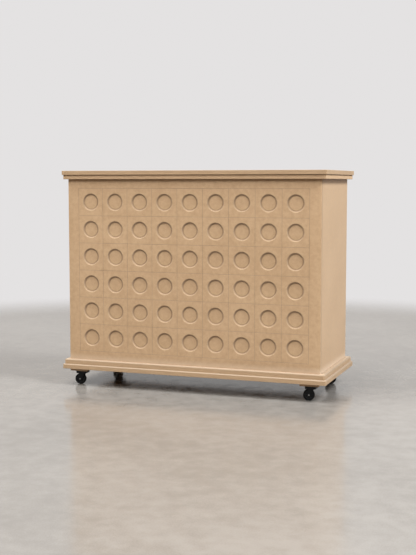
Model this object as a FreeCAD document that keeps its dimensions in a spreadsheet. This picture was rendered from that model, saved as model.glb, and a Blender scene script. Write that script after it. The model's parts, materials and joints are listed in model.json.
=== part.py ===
import FreeCAD, Part
import os
import Sketcher

# A display counter of raw fibreboard on four swivel casters.
# Millimetres, +Z up, +X along the front, front face towards -Y, origin on the floor under the middle.

SIZES = {
    # Boards and carcass
    "board": 19,
    "plinth_board": 22,
    "edge_ease": 0.8,
    "edge_round": 1.5,
    "plinth_bevel": 4,
    "body_width": 1178,
    "body_depth": 484,
    "body_height": 822,
    "worktop_overhang": 25,
    "worktop_step": 5,
    "plinth_overhang": 29,
    "plinth_step": 7,
    "front_overhang_cut": 8,
    # Front panel: grid of dished recesses and scored lines
    "columns": 9,
    "rows": 6,
    "grid_side_margin": 51.5,
    "grid_end_margin": 41,
    "recess_diameter": 77,
    "recess_depth": 4.5,
    "recess_bevel": 5.5,
    "score_width": 1.2,
    "score_depth": 0.6,
    # Inside of the cabinet
    "rail_height": 90,
    "batten": 28,
    "batten_gap": 2,
    "shelf_rise": 395,
    "shelf_setback": 24,
    "shelf_play": 1,
    "pin_diameter": 6,
    "pin_socket": 7,
    "pin_reach": 11,
    "pin_end_inset": 70,
    # Wood screws
    "screw_diameter": 4,
    "screw_hole_play": 0.1,
    "screw_head_diameter": 8,
    "screw_head_height": 2.4,
    "screw_bite": 12,
    "screw_end_inset": 90,
    "lamination_inset": 150,
    "lamination_columns": 4,
    # Caster fitting
    "caster_end_inset": 75,
    "caster_front_inset": 55,
    "caster_rear_inset": 75,
    "pad_margin": 18.5,
    "pad_thickness": 10,
    "plate_margin": 7.5,
    "plate_corner": 5,
    "plate_thickness": 2.5,
    "plate_rim_wall": 2,
    "plate_rim_drop": 12,
    "plate_hole_play": 0.3,
    "head_room": 1.2,
    # Caster swivel
    "kingpin_diameter": 8,
    "kingpin_head": 15,
    "kingpin_head_height": 2.85,
    "kingpin_flare": 1.4,
    "running_play": 0.05,
    "swivel_end_gap": 0.15,
    "crown_thickness": 3,
    "crown_brim": 5.1,
    "skirt_wall": 1.8,
    "skirt_gap": 0.4,
    "race_gap": 2.5,
    "race_radius": 12.4,
    "ball_diameter": 3.9,
    "ball_count": 16,
    # Caster fork and wheel
    "trail": 10,
    "leg_thickness": 2.2,
    "leg_top_width": 31,
    "leg_eye": 17,
    "wheel_diameter": 50,
    "wheel_headroom": 6,
    "tyre_width": 18,
    "tyre_thickness": 6,
    "tyre_shoulder": 3,
    "rim_thickness": 2.6,
    "rim_inset": 1,
    "web_thickness": 7,
    "hub_diameter": 15,
    "hub_side_gap": 0.5,
    "leg_side_gap": 1.2,
    "axle_diameter": 6,
    "axle_head_diameter": 8,
    "axle_head_height": 2.6,
    "axle_head_round": 1.2,
    "nut_across": 10,
    "nut_height": 4,
    # Way each fork points at rest, in degrees about its kingpin
    "front_left_turn": 6,
    "front_right_turn": 11,
    "rear_left_turn": -9,
    "rear_right_turn": 4,
}

document = FreeCAD.newDocument("display_cart")
sheet = document.addObject("Spreadsheet::Sheet", "Sizes")
for line, (alias, size) in enumerate(SIZES.items(), start=1):
    sheet.set(f"A{line}", alias)
    sheet.set(f"B{line}", str(size))
    sheet.setAlias(f"B{line}", alias)
document.recompute()

NODES = []

# Two places nearer than this count as one
NEAR = 0.01

# Heights, from the floor up
AXLE_Z = "Sizes.wheel_diameter / 2"
KINGPIN_Z = "(Sizes.wheel_diameter + Sizes.wheel_headroom)"
CROWN_Z = f"({KINGPIN_Z} + Sizes.kingpin_head_height + Sizes.swivel_end_gap)"
CROWN_TOP_Z = f"({CROWN_Z} + Sizes.crown_thickness)"
BALL_Z = f"({CROWN_TOP_Z} + Sizes.race_gap / 2)"
PLATE_Z = f"({CROWN_TOP_Z} + Sizes.race_gap)"
PAD_Z = f"({PLATE_Z} + Sizes.plate_thickness)"
PLINTH_Z = f"({PAD_Z} + Sizes.pad_thickness)"
PLINTH_UPPER_Z = f"({PLINTH_Z} + Sizes.plinth_board)"
CABINET_Z = f"({PLINTH_UPPER_Z} + Sizes.plinth_board)"
WORKTOP_Z = f"({CABINET_Z} + Sizes.body_height)"
WORKTOP_UPPER_Z = f"({WORKTOP_Z} + Sizes.board)"
SHELF_Z = f"({CABINET_Z} + Sizes.shelf_rise)"

# Plan of the cabinet: its middle, which lies forward of the worktop's, and inside faces of its walls
BODY_Y = "(-Sizes.front_overhang_cut / 2)"
INNER_X = "(Sizes.body_width / 2 - Sizes.board)"
DIVIDER_X = "Sizes.board / 2"
FRONT_Y = f"({BODY_Y} - Sizes.body_depth / 2 + Sizes.board)"
REAR_Y = f"({BODY_Y} + Sizes.body_depth / 2 - Sizes.board)"
BAY_WIDTH = f"({INNER_X} - {DIVIDER_X})"

# Plan of the worktop and plinth, without their overhangs
DECK_WIDTH = "Sizes.body_width"
DECK_DEPTH = "(Sizes.body_depth - Sizes.front_overhang_cut)"

# Plan of the casters
LEG_INNER = "(Sizes.tyre_width / 2 + Sizes.leg_side_gap)"
LEG_OUTER = f"({LEG_INNER} + Sizes.leg_thickness)"
CROWN_RADIUS = f"({LEG_OUTER} + Sizes.crown_brim)"
HOLE_OFFSET = f"(({CROWN_RADIUS} + Sizes.head_room + Sizes.screw_head_diameter / 2) / sqrt(2))"
PLATE_SIDE = f"(2 * {HOLE_OFFSET} + 2 * Sizes.plate_margin)"
PAD_SIDE = f"({PLATE_SIDE} + 2 * Sizes.pad_margin)"
RIGHT_PIVOT_X = f"({DECK_WIDTH} / 2 + Sizes.plinth_overhang - Sizes.caster_end_inset)"
LEFT_PIVOT_X = f"(-{RIGHT_PIVOT_X})"
FRONT_PIVOT_Y = f"(Sizes.caster_front_inset - Sizes.plinth_overhang - {DECK_DEPTH} / 2)"
REAR_PIVOT_Y = f"({DECK_DEPTH} / 2 + Sizes.plinth_overhang - Sizes.caster_rear_inset)"
PIVOTS = {
    "front_left": (LEFT_PIVOT_X, FRONT_PIVOT_Y),
    "front_right": (RIGHT_PIVOT_X, FRONT_PIVOT_Y),
    "rear_left": (LEFT_PIVOT_X, REAR_PIVOT_Y),
    "rear_right": (RIGHT_PIVOT_X, REAR_PIVOT_Y),
}

SCREW_HOLE = "(Sizes.screw_diameter + 2 * Sizes.screw_hole_play)"
PILOT_DEPTH = "(Sizes.screw_bite + Sizes.screw_hole_play)"
PIN_HOLE = "(Sizes.pin_diameter + 2 * Sizes.screw_hole_play)"
PIN_HOLE_DEPTH = "(Sizes.pin_socket + Sizes.screw_hole_play)"
PIN_Z = f"({SHELF_Z} - Sizes.pin_diameter / 2 - Sizes.screw_hole_play)"


def value(expression):
    """The number that an expression on the sheet comes to."""
    return float(sheet.evalExpression(expression))


def new_body(label):
    """An empty body that becomes one node."""
    body = document.addObject("PartDesign::Body", label)
    body.Label = label
    NODES.append(body)
    return body


def origin_part(body, role):
    """One of the body's own origin planes or axes."""
    return next(item for item in body.Origin.OriginFeatures if item.Role == role)


def new_sketch(body, role, offset=("0", "0", "0")):
    """A sketch on an origin plane, moved by an offset given in that plane's own directions."""
    sketch = body.newObject("Sketcher::SketchObject", f"{body.Label}_sketch")
    sketch.AttachmentSupport = [(origin_part(body, role), "")]
    sketch.MapMode = "FlatFace"
    for direction, expression in zip("xyz", offset):
        sketch.setExpression(f"AttachmentOffset.Base.{direction}", expression)
    return sketch


def add_datum(sketch, constraint, expression):
    """A sketch dimension that follows an expression."""
    number = sketch.addConstraint(constraint)
    name = f"size_{number}"
    sketch.renameConstraint(number, name)
    sketch.setExpression(f"Constraints.{name}", expression)


def fix_point(sketch, index, end, x, y):
    """Hold one point of a sketched line or circle at a pair of expressions."""
    for kind, axis, expression in (("DistanceX", -2, x), ("DistanceY", -1, y)):
        if expression == "0":
            sketch.addConstraint(Sketcher.Constraint("PointOnObject", index, end, axis))
        else:
            add_datum(sketch, Sketcher.Constraint(kind, index, end, value(expression)), expression)


def draw_outline(sketch, points):
    """A closed chain of straight lines through the points."""
    first = sketch.GeometryCount
    places = [FreeCAD.Vector(value(x), value(y), 0) for x, y in points]
    for side, start in enumerate(places):
        sketch.addGeometry(Part.LineSegment(start, places[(side + 1) % len(places)]))
    for side, (x, y) in enumerate(points):
        following = (side + 1) % len(points)
        sketch.addConstraint(Sketcher.Constraint("Coincident", first + side, 2, first + following, 1))
        fix_point(sketch, first + side, 1, x, y)


def draw_rectangle(sketch, x, y, width, height):
    """A rectangle of a width and height with its middle at (x, y)."""
    left, right = f"{x} - {width} / 2", f"{x} + {width} / 2"
    low, high = f"{y} - {height} / 2", f"{y} + {height} / 2"
    draw_outline(sketch, [(left, low), (right, low), (right, high), (left, high)])


def draw_circle(sketch, x, y, diameter):
    """A circle with its middle at (x, y)."""
    middle = FreeCAD.Vector(value(x), value(y), 0)
    index = sketch.addGeometry(Part.Circle(middle, FreeCAD.Vector(0, 0, 1), value(diameter) / 2))
    fix_point(sketch, index, 3, x, y)
    add_datum(sketch, Sketcher.Constraint("Diameter", index, value(diameter)), diameter)


def add_pad(body, sketch, length, backwards=False, both_ways=False):
    """Raise a sketch by a length, on one side of its plane or half each way."""
    pad = body.newObject("PartDesign::Pad", f"{body.Label}_pad")
    pad.Profile = sketch
    pad.setExpression("Length", length)
    pad.Reversed = backwards
    if both_ways:
        pad.SideType = "Symmetric"
    document.recompute()
    return pad


def add_pocket(body, sketch, depth, backwards=False, both_ways=False):
    """Cut a sketch into the body and make sure that something was removed."""
    before = body.Shape.Volume
    pocket = body.newObject("PartDesign::Pocket", f"{body.Label}_pocket")
    pocket.Profile = sketch
    pocket.setExpression("Length", depth)
    pocket.Reversed = backwards
    if both_ways:
        pocket.SideType = "Symmetric"
    document.recompute()
    if body.Shape.Volume >= before:
        raise RuntimeError(f"a pocket of {body.Label} removes nothing")
    return pocket


def add_turned(body, sketch, axis, cut=False):
    """Turn a sketch once round one of its own axes, adding it to the body or cutting it away."""
    before = body.Shape.Volume if cut else 0
    kind = "PartDesign::Groove" if cut else "PartDesign::Revolution"
    turned = body.newObject(kind, f"{body.Label}_turned")
    turned.Profile = sketch
    turned.ReferenceAxis = (sketch, [axis])
    turned.Angle = 360
    document.recompute()
    if cut and body.Shape.Volume >= before:
        raise RuntimeError(f"a groove of {body.Label} removes nothing")
    return turned


def add_grid(body, feature, steps):
    """Repeat a feature along origin axes; each step is an axis role, a total length and a count."""
    grid = body.newObject("PartDesign::MultiTransform", f"{body.Label}_grid")
    grid.Originals = [feature]
    rows = []
    for role, length, count in steps:
        row = body.newObject("PartDesign::LinearPattern", f"{body.Label}_row")
        row.Direction = (origin_part(body, role), [""])
        row.setExpression("Length", length)
        row.setExpression("Occurrences", count)
        rows.append(row)
    grid.Transformations = rows
    body.Tip = grid
    document.recompute()
    return grid


def ease_edges(body, feature, size, wanted=None, rounded=False):
    """Chamfer, or round, the edges of a feature that the test picks out."""
    names = []
    for number, edge in enumerate(feature.Shape.Edges, start=1):
        if wanted is None or wanted(edge):
            names.append(f"Edge{number}")
    kind = "PartDesign::Fillet" if rounded else "PartDesign::Chamfer"
    eased = body.newObject(kind, f"{body.Label}_eased")
    eased.Base = (feature, names)
    eased.setExpression("Radius" if rounded else "Size", size)
    document.recompute()
    return eased


def place(body, x, y, z, turn=None):
    """Put a body at a point, turned about the vertical where a turn is given."""
    if turn is not None:
        body.Placement = FreeCAD.Placement(
            FreeCAD.Vector(), FreeCAD.Rotation(FreeCAD.Vector(0, 0, 1), value(turn)))
        body.setExpression("Placement.Rotation.Angle", turn)
    for direction, expression in zip("xyz", (x, y, z)):
        body.setExpression(f"Placement.Base.{direction}", expression)


def make_board(label, size, at, finish="sanded"):
    """A cut board with sanded, rounded or bevelled arrises; at is the middle of its underside."""
    body = new_body(label)
    sketch = new_sketch(body, "XY_Plane")
    draw_rectangle(sketch, "0", "0", size[0], size[1])
    pad = add_pad(body, sketch, size[2])
    if finish == "rounded":
        ease_edges(body, pad, "Sizes.edge_round", rounded=True)
    elif finish == "bevelled":
        bevelled = ease_edges(body, pad, "Sizes.plinth_bevel", lambda edge: edge.BoundBox.ZMax > NEAR)
        ease_edges(body, bevelled, "Sizes.edge_ease", lambda edge: edge.BoundBox.ZMax < NEAR)
    else:
        ease_edges(body, pad, "Sizes.edge_ease")
    place(body, *at)
    return body


def drill(body, points, diameter, depth, top=None):
    """Round holes in a lying board at points in its own plan, from its underside or from a given top."""
    sketch = new_sketch(body, "XY_Plane", ("0", "0", top or "0"))
    for x, y in points:
        draw_circle(sketch, x, y, diameter)
    add_pocket(body, sketch, depth, backwards=top is None)


def make_screws(label, points, underside, grip, upwards=True):
    """Round-head wood screws: heads on one face and shanks through the grip into the next board."""
    body = new_body(label)
    heads = new_sketch(body, "XY_Plane")
    for x, y in points:
        draw_circle(heads, x, y, "Sizes.screw_head_diameter")
    add_pad(body, heads, "Sizes.screw_head_height", backwards=upwards)
    shanks = new_sketch(body, "XY_Plane")
    for x, y in points:
        draw_circle(shanks, x, y, "Sizes.screw_diameter")
    pad = add_pad(body, shanks, f"{grip} + Sizes.screw_bite", backwards=not upwards)
    tip = max if upwards else min
    far = tip(edge.BoundBox.Center.z for edge in pad.Shape.Edges)
    ease_edges(body, pad, "Sizes.screw_diameter / 3", lambda edge: abs(edge.BoundBox.Center.z - far) < NEAR
               and edge.Curve.TypeId == "Part::GeomCircle")
    place(body, "0", "0", underside)
    return body


# Plan of the fasteners

FRONT_BATTEN_Y = f"({FRONT_Y} + Sizes.batten / 2)"
SIDE_BATTEN_X = f"({INNER_X} - Sizes.batten / 2)"
DIVIDER_BATTEN_X = f"({DIVIDER_X} + Sizes.batten / 2)"
SIDE_BATTEN_FRONT = f"({FRONT_Y} + Sizes.batten + Sizes.batten_gap)"
SIDE_BATTEN_LENGTH = f"({REAR_Y} - {SIDE_BATTEN_FRONT})"
SIDE_BATTEN_Y = f"({SIDE_BATTEN_FRONT} + {SIDE_BATTEN_LENGTH} / 2)"


def batten_rectangles():
    """Six strips round each level of the cabinet: along the front, the sides and the divider."""
    strips = []
    for sign in ("-1", "1"):
        bay_middle = f"{sign} * ({DIVIDER_X} + {BAY_WIDTH} / 2)"
        strips.append((bay_middle, FRONT_BATTEN_Y, BAY_WIDTH, "Sizes.batten"))
        for x in (SIDE_BATTEN_X, DIVIDER_BATTEN_X):
            strips.append((f"{sign} * {x}", SIDE_BATTEN_Y, "Sizes.batten", SIDE_BATTEN_LENGTH))
    return strips


def batten_screw_points():
    """Two screws near the ends of every strip."""
    points = []
    for x, y, width, depth in batten_rectangles():
        for way in ("-", "+"):
            if depth == "Sizes.batten":
                points.append((f"{x} {way} ({width} / 2 - Sizes.screw_end_inset)", y))
            else:
                points.append((x, f"{y} {way} ({depth} / 2 - Sizes.screw_end_inset)"))
    return points


def lamination_points():
    """Screws that hold two laminated boards together, in two lines inside the cabinet walls."""
    points = []
    reach_x = "(Sizes.body_width / 2 - Sizes.lamination_inset)"
    reach_y = "(Sizes.body_depth / 2 - Sizes.lamination_inset)"
    count = int(value("Sizes.lamination_columns"))
    for column in range(count):
        share = f"({2 * column} / (Sizes.lamination_columns - 1) - 1)"
        for sign in ("-1", "1"):
            points.append((f"{share} * {reach_x}", f"{sign} * {reach_y}"))
    return points


def caster_screw_points():
    """Four screws round every caster pivot."""
    points = []
    for x, y in PIVOTS.values():
        for x_way in ("-", "+"):
            for y_way in ("-", "+"):
                points.append((f"{x} {x_way} {HOLE_OFFSET}", f"{y} {y_way} {HOLE_OFFSET}"))
    return points


# Worktop and plinth boards

def make_worktop():
    """Two laminated boards, the lower one set in, both overhanging the body."""
    upper = tuple(f"({size} + 2 * Sizes.worktop_overhang)" for size in (DECK_WIDTH, DECK_DEPTH))
    lower = tuple(f"({size} - 2 * Sizes.worktop_step)" for size in upper)
    board = make_board("worktop_upper", (*upper, "Sizes.board"), ("0", "0", WORKTOP_UPPER_Z), "rounded")
    drill(board, lamination_points(), SCREW_HOLE, PILOT_DEPTH)
    board = make_board("worktop_lower", (*lower, "Sizes.board"), ("0", "0", WORKTOP_Z), "rounded")
    drill(board, lamination_points(), SCREW_HOLE, "Sizes.board")
    drill(board, batten_screw_points(), SCREW_HOLE, PILOT_DEPTH)
    make_screws("worktop_screws", lamination_points(), WORKTOP_Z, "Sizes.board")


def make_plinth():
    """Two laminated boards, the lower one standing out, which carry the cabinet."""
    lower = tuple(f"({size} + 2 * Sizes.plinth_overhang)" for size in (DECK_WIDTH, DECK_DEPTH))
    upper = tuple(f"({size} - 2 * Sizes.plinth_step)" for size in lower)
    thickness = "Sizes.plinth_board"
    board = make_board("plinth_upper", (*upper, thickness), ("0", "0", PLINTH_UPPER_Z), "bevelled")
    drill(board, lamination_points(), SCREW_HOLE, PILOT_DEPTH)
    drill(board, batten_screw_points(), SCREW_HOLE, PILOT_DEPTH, thickness)
    board = make_board("plinth_lower", (*lower, thickness), ("0", "0", PLINTH_Z), "bevelled")
    drill(board, lamination_points(), SCREW_HOLE, thickness)
    drill(board, caster_screw_points(), SCREW_HOLE, PILOT_DEPTH)
    make_screws("plinth_screws", lamination_points(), PLINTH_Z, thickness)


# Front panel

def make_front_panel():
    """Full-width front board: scored into cells, with a bevel-edged round recess in every cell."""
    cell_width = "((Sizes.body_width - 2 * Sizes.grid_side_margin) / Sizes.columns)"
    cell_height = "((Sizes.body_height - 2 * Sizes.grid_end_margin) / Sizes.rows)"
    grid_width = f"(Sizes.columns * {cell_width})"
    grid_height = f"(Sizes.rows * {cell_height})"
    body = new_body("front_panel")
    blank = new_sketch(body, "XZ_Plane")
    draw_rectangle(blank, "0", "Sizes.body_height / 2", "Sizes.body_width", "Sizes.body_height")
    pad = add_pad(body, blank, "Sizes.board", backwards=True)
    ease_edges(body, pad, "Sizes.edge_ease")
    upright = new_sketch(body, "XZ_Plane")
    draw_rectangle(upright, f"-{grid_width} / 2", "Sizes.body_height / 2",
                   "Sizes.score_width", f"({grid_height} + Sizes.score_width)")
    line = add_pocket(body, upright, "Sizes.score_depth")
    add_grid(body, line, [("X_Axis", grid_width, "Sizes.columns + 1")])
    level = new_sketch(body, "XZ_Plane")
    draw_rectangle(level, "0", "Sizes.grid_end_margin", grid_width, "Sizes.score_width")
    line = add_pocket(body, level, "Sizes.score_depth")
    add_grid(body, line, [("Z_Axis", grid_height, "Sizes.rows + 1")])
    first_x = f"({cell_width} - {grid_width}) / 2"
    first_z = f"Sizes.grid_end_margin + {cell_height} / 2"
    radius = "Sizes.recess_diameter / 2"
    flat_radius = f"({radius} - Sizes.recess_bevel)"
    dish = new_sketch(body, "YZ_Plane", ("0", first_z, first_x))
    draw_outline(dish, [("0", "0"), ("Sizes.recess_depth", "0"), ("Sizes.recess_depth", flat_radius),
                        ("0", radius)])
    recess = add_turned(body, dish, "H_Axis", cut=True)
    add_grid(body, recess, [("X_Axis", f"{grid_width} - {cell_width}", "Sizes.columns"),
                            ("Z_Axis", f"{grid_height} - {cell_height}", "Sizes.rows")])
    place(body, "0", f"{FRONT_Y} - Sizes.board", CABINET_Z)


# Inside of the cabinet

def drill_pin_sockets(body, middle_y, face_x, towards):
    """Two blind sockets for shelf pins in an upright board, cut from one of its faces."""
    sketch = new_sketch(body, "YZ_Plane", ("0", "0", face_x))
    for y in pin_places():
        draw_circle(sketch, f"{y} - {middle_y}", f"{PIN_Z} - {CABINET_Z}", PIN_HOLE)
    add_pocket(body, sketch, PIN_HOLE_DEPTH, backwards=towards)


def pin_places():
    """Where the pins stand along the depth of a shelf."""
    shelf_rear = f"({REAR_Y} - Sizes.shelf_setback)"
    return (f"({FRONT_Y} + Sizes.pin_end_inset)", f"({shelf_rear} - Sizes.pin_end_inset)")


def make_uprights():
    """Side boards behind the front panel, the divider and the rail that closes the top of the back."""
    side_depth = "(Sizes.body_depth - Sizes.board)"
    side_middle = f"({BODY_Y} + Sizes.board / 2)"
    for label, sign in (("left_side", "-1"), ("right_side", "1")):
        at = (f"{sign} * ({INNER_X} + Sizes.board / 2)", side_middle, CABINET_Z)
        side = make_board(label, ("Sizes.board", side_depth, "Sizes.body_height"), at)
        drill_pin_sockets(side, side_middle, f"{sign} * -Sizes.board / 2", sign == "1")
    depth = f"({REAR_Y} - {FRONT_Y})"
    at = ("0", BODY_Y, CABINET_Z)
    divider = make_board("centre_divider", ("Sizes.board", depth, "Sizes.body_height"), at)
    drill_pin_sockets(divider, BODY_Y, "-Sizes.board / 2", True)
    drill_pin_sockets(divider, BODY_Y, "Sizes.board / 2", False)
    make_board("back_top_rail", (f"(2 * {INNER_X})", "Sizes.board", "Sizes.rail_height"),
               ("0", f"{REAR_Y} + Sizes.board / 2", f"{WORKTOP_Z} - Sizes.rail_height"))


def make_shelf(label, sign):
    """A loose shelf, notched round the corner batten, lying on four pins."""
    body = new_body(label)
    near = f"{sign} * ({DIVIDER_X} + Sizes.shelf_play)"
    far = f"{sign} * ({INNER_X} - Sizes.shelf_play)"
    notch_x = f"{sign} * ({INNER_X} - Sizes.batten - Sizes.shelf_play)"
    front = f"({FRONT_Y} + Sizes.shelf_play)"
    notch_y = f"({FRONT_Y} + Sizes.batten + Sizes.shelf_play)"
    rear = f"({REAR_Y} - Sizes.shelf_setback)"
    sketch = new_sketch(body, "XY_Plane")
    draw_outline(sketch, [(near, front), (notch_x, front), (notch_x, notch_y),
                          (far, notch_y), (far, rear), (near, rear)])
    pad = add_pad(body, sketch, "Sizes.board")
    ease_edges(body, pad, "Sizes.edge_ease")
    place(body, "0", "0", SHELF_Z)


def make_battens():
    """Glued strips: six under the worktop, six on the cabinet floor and one upright in each front corner."""
    for label, height in (("worktop_battens", f"{WORKTOP_Z} - Sizes.batten"), ("floor_battens", CABINET_Z)):
        body = new_body(label)
        sketch = new_sketch(body, "XY_Plane")
        for strip in batten_rectangles():
            draw_rectangle(sketch, *strip)
        add_pad(body, sketch, "Sizes.batten")
        drill(body, batten_screw_points(), SCREW_HOLE, "Sizes.batten")
        place(body, "0", "0", height)
    body = new_body("corner_battens")
    sketch = new_sketch(body, "XY_Plane")
    for sign in ("-1", "1"):
        draw_rectangle(sketch, f"{sign} * {SIDE_BATTEN_X}", FRONT_BATTEN_Y, "Sizes.batten", "Sizes.batten")
    add_pad(body, sketch, "(Sizes.body_height - 2 * Sizes.batten)")
    place(body, "0", "0", f"{CABINET_Z} + Sizes.batten")
    points = batten_screw_points()
    make_screws("worktop_batten_screws", points, f"{WORKTOP_Z} - Sizes.batten", "Sizes.batten")
    make_screws("floor_batten_screws", points, f"{CABINET_Z} + Sizes.batten", "Sizes.batten", upwards=False)


def make_shelf_pins():
    """Steel pins, each half in its socket and half under a shelf."""
    pins = []
    for sign in ("-1", "1"):
        for face, way in ((INNER_X, "-"), (DIVIDER_X, "+")):
            middle = f"({face} {way} (Sizes.pin_reach - Sizes.pin_socket) / 2)"
            for y in pin_places():
                pin = document.addObject("Part::Cylinder", "shelf_pin")
                pin.Placement = FreeCAD.Placement(
                    FreeCAD.Vector(), FreeCAD.Rotation(FreeCAD.Vector(0, 1, 0), 90))
                pin.setExpression("Radius", "Sizes.pin_diameter / 2")
                pin.setExpression("Height", "Sizes.pin_socket + Sizes.pin_reach")
                pin.setExpression("Placement.Base.x",
                                  f"{sign} * {middle} - (Sizes.pin_socket + Sizes.pin_reach) / 2")
                pin.setExpression("Placement.Base.y", y)
                pin.setExpression("Placement.Base.z", PIN_Z)
                pins.append(pin)
    group = document.addObject("Part::Compound", "shelf_pins")
    group.Label = "shelf_pins"
    group.Links = pins
    NODES.append(group)


# Casters: each is built round its own pivot with the floor at zero, then put in its corner

def make_plate(label):
    """Pressed top plate: a turned-down rim, four screw holes, a flared pivot hole and half of a ball race."""
    body = new_body(label)
    cavity = f"({PLATE_SIDE} - 2 * Sizes.plate_rim_wall)"
    sketch = new_sketch(body, "XY_Plane", ("0", "0", PLATE_Z))
    draw_rectangle(sketch, "0", "0", PLATE_SIDE, PLATE_SIDE)
    add_pad(body, sketch, "Sizes.plate_thickness")
    rim = new_sketch(body, "XY_Plane", ("0", "0", PLATE_Z))
    draw_rectangle(rim, "0", "0", PLATE_SIDE, PLATE_SIDE)
    draw_rectangle(rim, "0", "0", cavity, cavity)
    pressed = add_pad(body, rim, "Sizes.plate_rim_drop", backwards=True)
    outer = ease_edges(body, pressed, "Sizes.plate_corner", upright_at(f"{PLATE_SIDE} / 2"), rounded=True)
    inner_corner = "Sizes.plate_corner - Sizes.plate_rim_wall"
    ease_edges(body, outer, inner_corner, upright_at(f"{cavity} / 2"), rounded=True)
    holes = new_sketch(body, "XY_Plane", ("0", "0", PLATE_Z))
    for x_way in ("-", ""):
        for y_way in ("-", ""):
            draw_circle(holes, f"{x_way}{HOLE_OFFSET}", f"{y_way}{HOLE_OFFSET}",
                        "Sizes.screw_diameter + 2 * Sizes.plate_hole_play")
    add_pocket(body, holes, "Sizes.plate_thickness", backwards=True)
    bore = "(Sizes.kingpin_diameter / 2 + Sizes.running_play)"
    flare = f"({bore} + Sizes.kingpin_flare)"
    pivot = new_sketch(body, "XZ_Plane")
    draw_outline(pivot, [("0", PLATE_Z), (bore, PLATE_Z), (bore, f"{PAD_Z} - Sizes.kingpin_flare"),
                         (flare, PAD_Z), ("0", PAD_Z)])
    add_turned(body, pivot, "V_Axis", cut=True)
    cut_race(body)
    return body


def cut_race(body):
    """A ring groove of the balls' own section with running play."""
    race = new_sketch(body, "XZ_Plane")
    draw_circle(race, "Sizes.race_radius", BALL_Z, "Sizes.ball_diameter + 2 * Sizes.running_play")
    add_turned(body, race, "V_Axis", cut=True)


def upright_at(distance):
    """A test that picks out the vertical edges at a distance from the middle plane."""
    half = value(distance)
    return lambda edge: edge.BoundBox.XLength < NEAR and abs(abs(edge.BoundBox.Center.x) - half) < NEAR \
        and edge.BoundBox.ZLength > edge.Length * 0.99


def make_kingpin(label):
    """Rivet through plate and crown: a flared top in the plate and a flat head under the crown."""
    body = new_body(label)
    radius = "Sizes.kingpin_diameter / 2"
    flare = f"({radius} + Sizes.kingpin_flare)"
    head = "Sizes.kingpin_head / 2"
    sketch = new_sketch(body, "XZ_Plane")
    draw_outline(sketch, [("0", KINGPIN_Z), (head, KINGPIN_Z),
                          (head, f"{KINGPIN_Z} + Sizes.kingpin_head_height"),
                          (radius, f"{KINGPIN_Z} + Sizes.kingpin_head_height"),
                          (radius, f"{PAD_Z} - Sizes.kingpin_flare"), (flare, PAD_Z), ("0", PAD_Z)])
    add_turned(body, sketch, "V_Axis")
    return body


def make_balls(label):
    """Ring of bearing balls between plate and crown."""
    body = new_body(label)
    ball = body.newObject("PartDesign::AdditiveSphere", f"{label}_ball")
    ball.AttachmentSupport = [(origin_part(body, "XY_Plane"), "")]
    ball.MapMode = "FlatFace"
    ball.setExpression("Radius", "Sizes.ball_diameter / 2")
    ball.setExpression("AttachmentOffset.Base.x", "Sizes.race_radius")
    ball.setExpression("AttachmentOffset.Base.z", BALL_Z)
    document.recompute()
    ring = body.newObject("PartDesign::PolarPattern", f"{label}_ring")
    ring.Originals = [ball]
    ring.Axis = (origin_part(body, "Z_Axis"), [""])
    ring.Angle = 360
    ring.setExpression("Occurrences", "Sizes.ball_count")
    body.Tip = ring
    document.recompute()
    return body


def draw_leg(sketch):
    """Side view of a fork leg: its straight edges run from the crown to touch a round eye about the axle."""
    top = value(CROWN_Z)
    half_top = value("Sizes.leg_top_width") / 2
    eye = value("Sizes.leg_eye") / 2
    centre = FreeCAD.Vector(-value("Sizes.trail"), value(AXLE_Z), 0)
    front = FreeCAD.Vector(half_top, top, 0)
    back = FreeCAD.Vector(-half_top, top, 0)
    front_touch = centre + FreeCAD.Vector(eye, 0, 0)
    back_touch = centre - FreeCAD.Vector(eye, 0, 0)
    sketch.addGeometry(Part.LineSegment(back, front))
    sketch.addGeometry(Part.LineSegment(front, front_touch))
    sketch.addGeometry(Part.Arc(back_touch, centre - FreeCAD.Vector(0, eye, 0), front_touch))
    sketch.addGeometry(Part.LineSegment(back_touch, back))
    sketch.addConstraint(Sketcher.Constraint("Coincident", 0, 2, 1, 1))
    sketch.addConstraint(Sketcher.Constraint("Coincident", 3, 2, 0, 1))
    sketch.addConstraint(Sketcher.Constraint("Tangent", 1, 2, 2, 2))
    sketch.addConstraint(Sketcher.Constraint("Tangent", 3, 1, 2, 1))
    fix_point(sketch, 0, 1, "-Sizes.leg_top_width / 2", CROWN_Z)
    fix_point(sketch, 0, 2, "Sizes.leg_top_width / 2", CROWN_Z)
    fix_point(sketch, 2, 3, "-Sizes.trail", AXLE_Z)
    add_datum(sketch, Sketcher.Constraint("Radius", 2, eye), "Sizes.leg_eye / 2")


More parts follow.
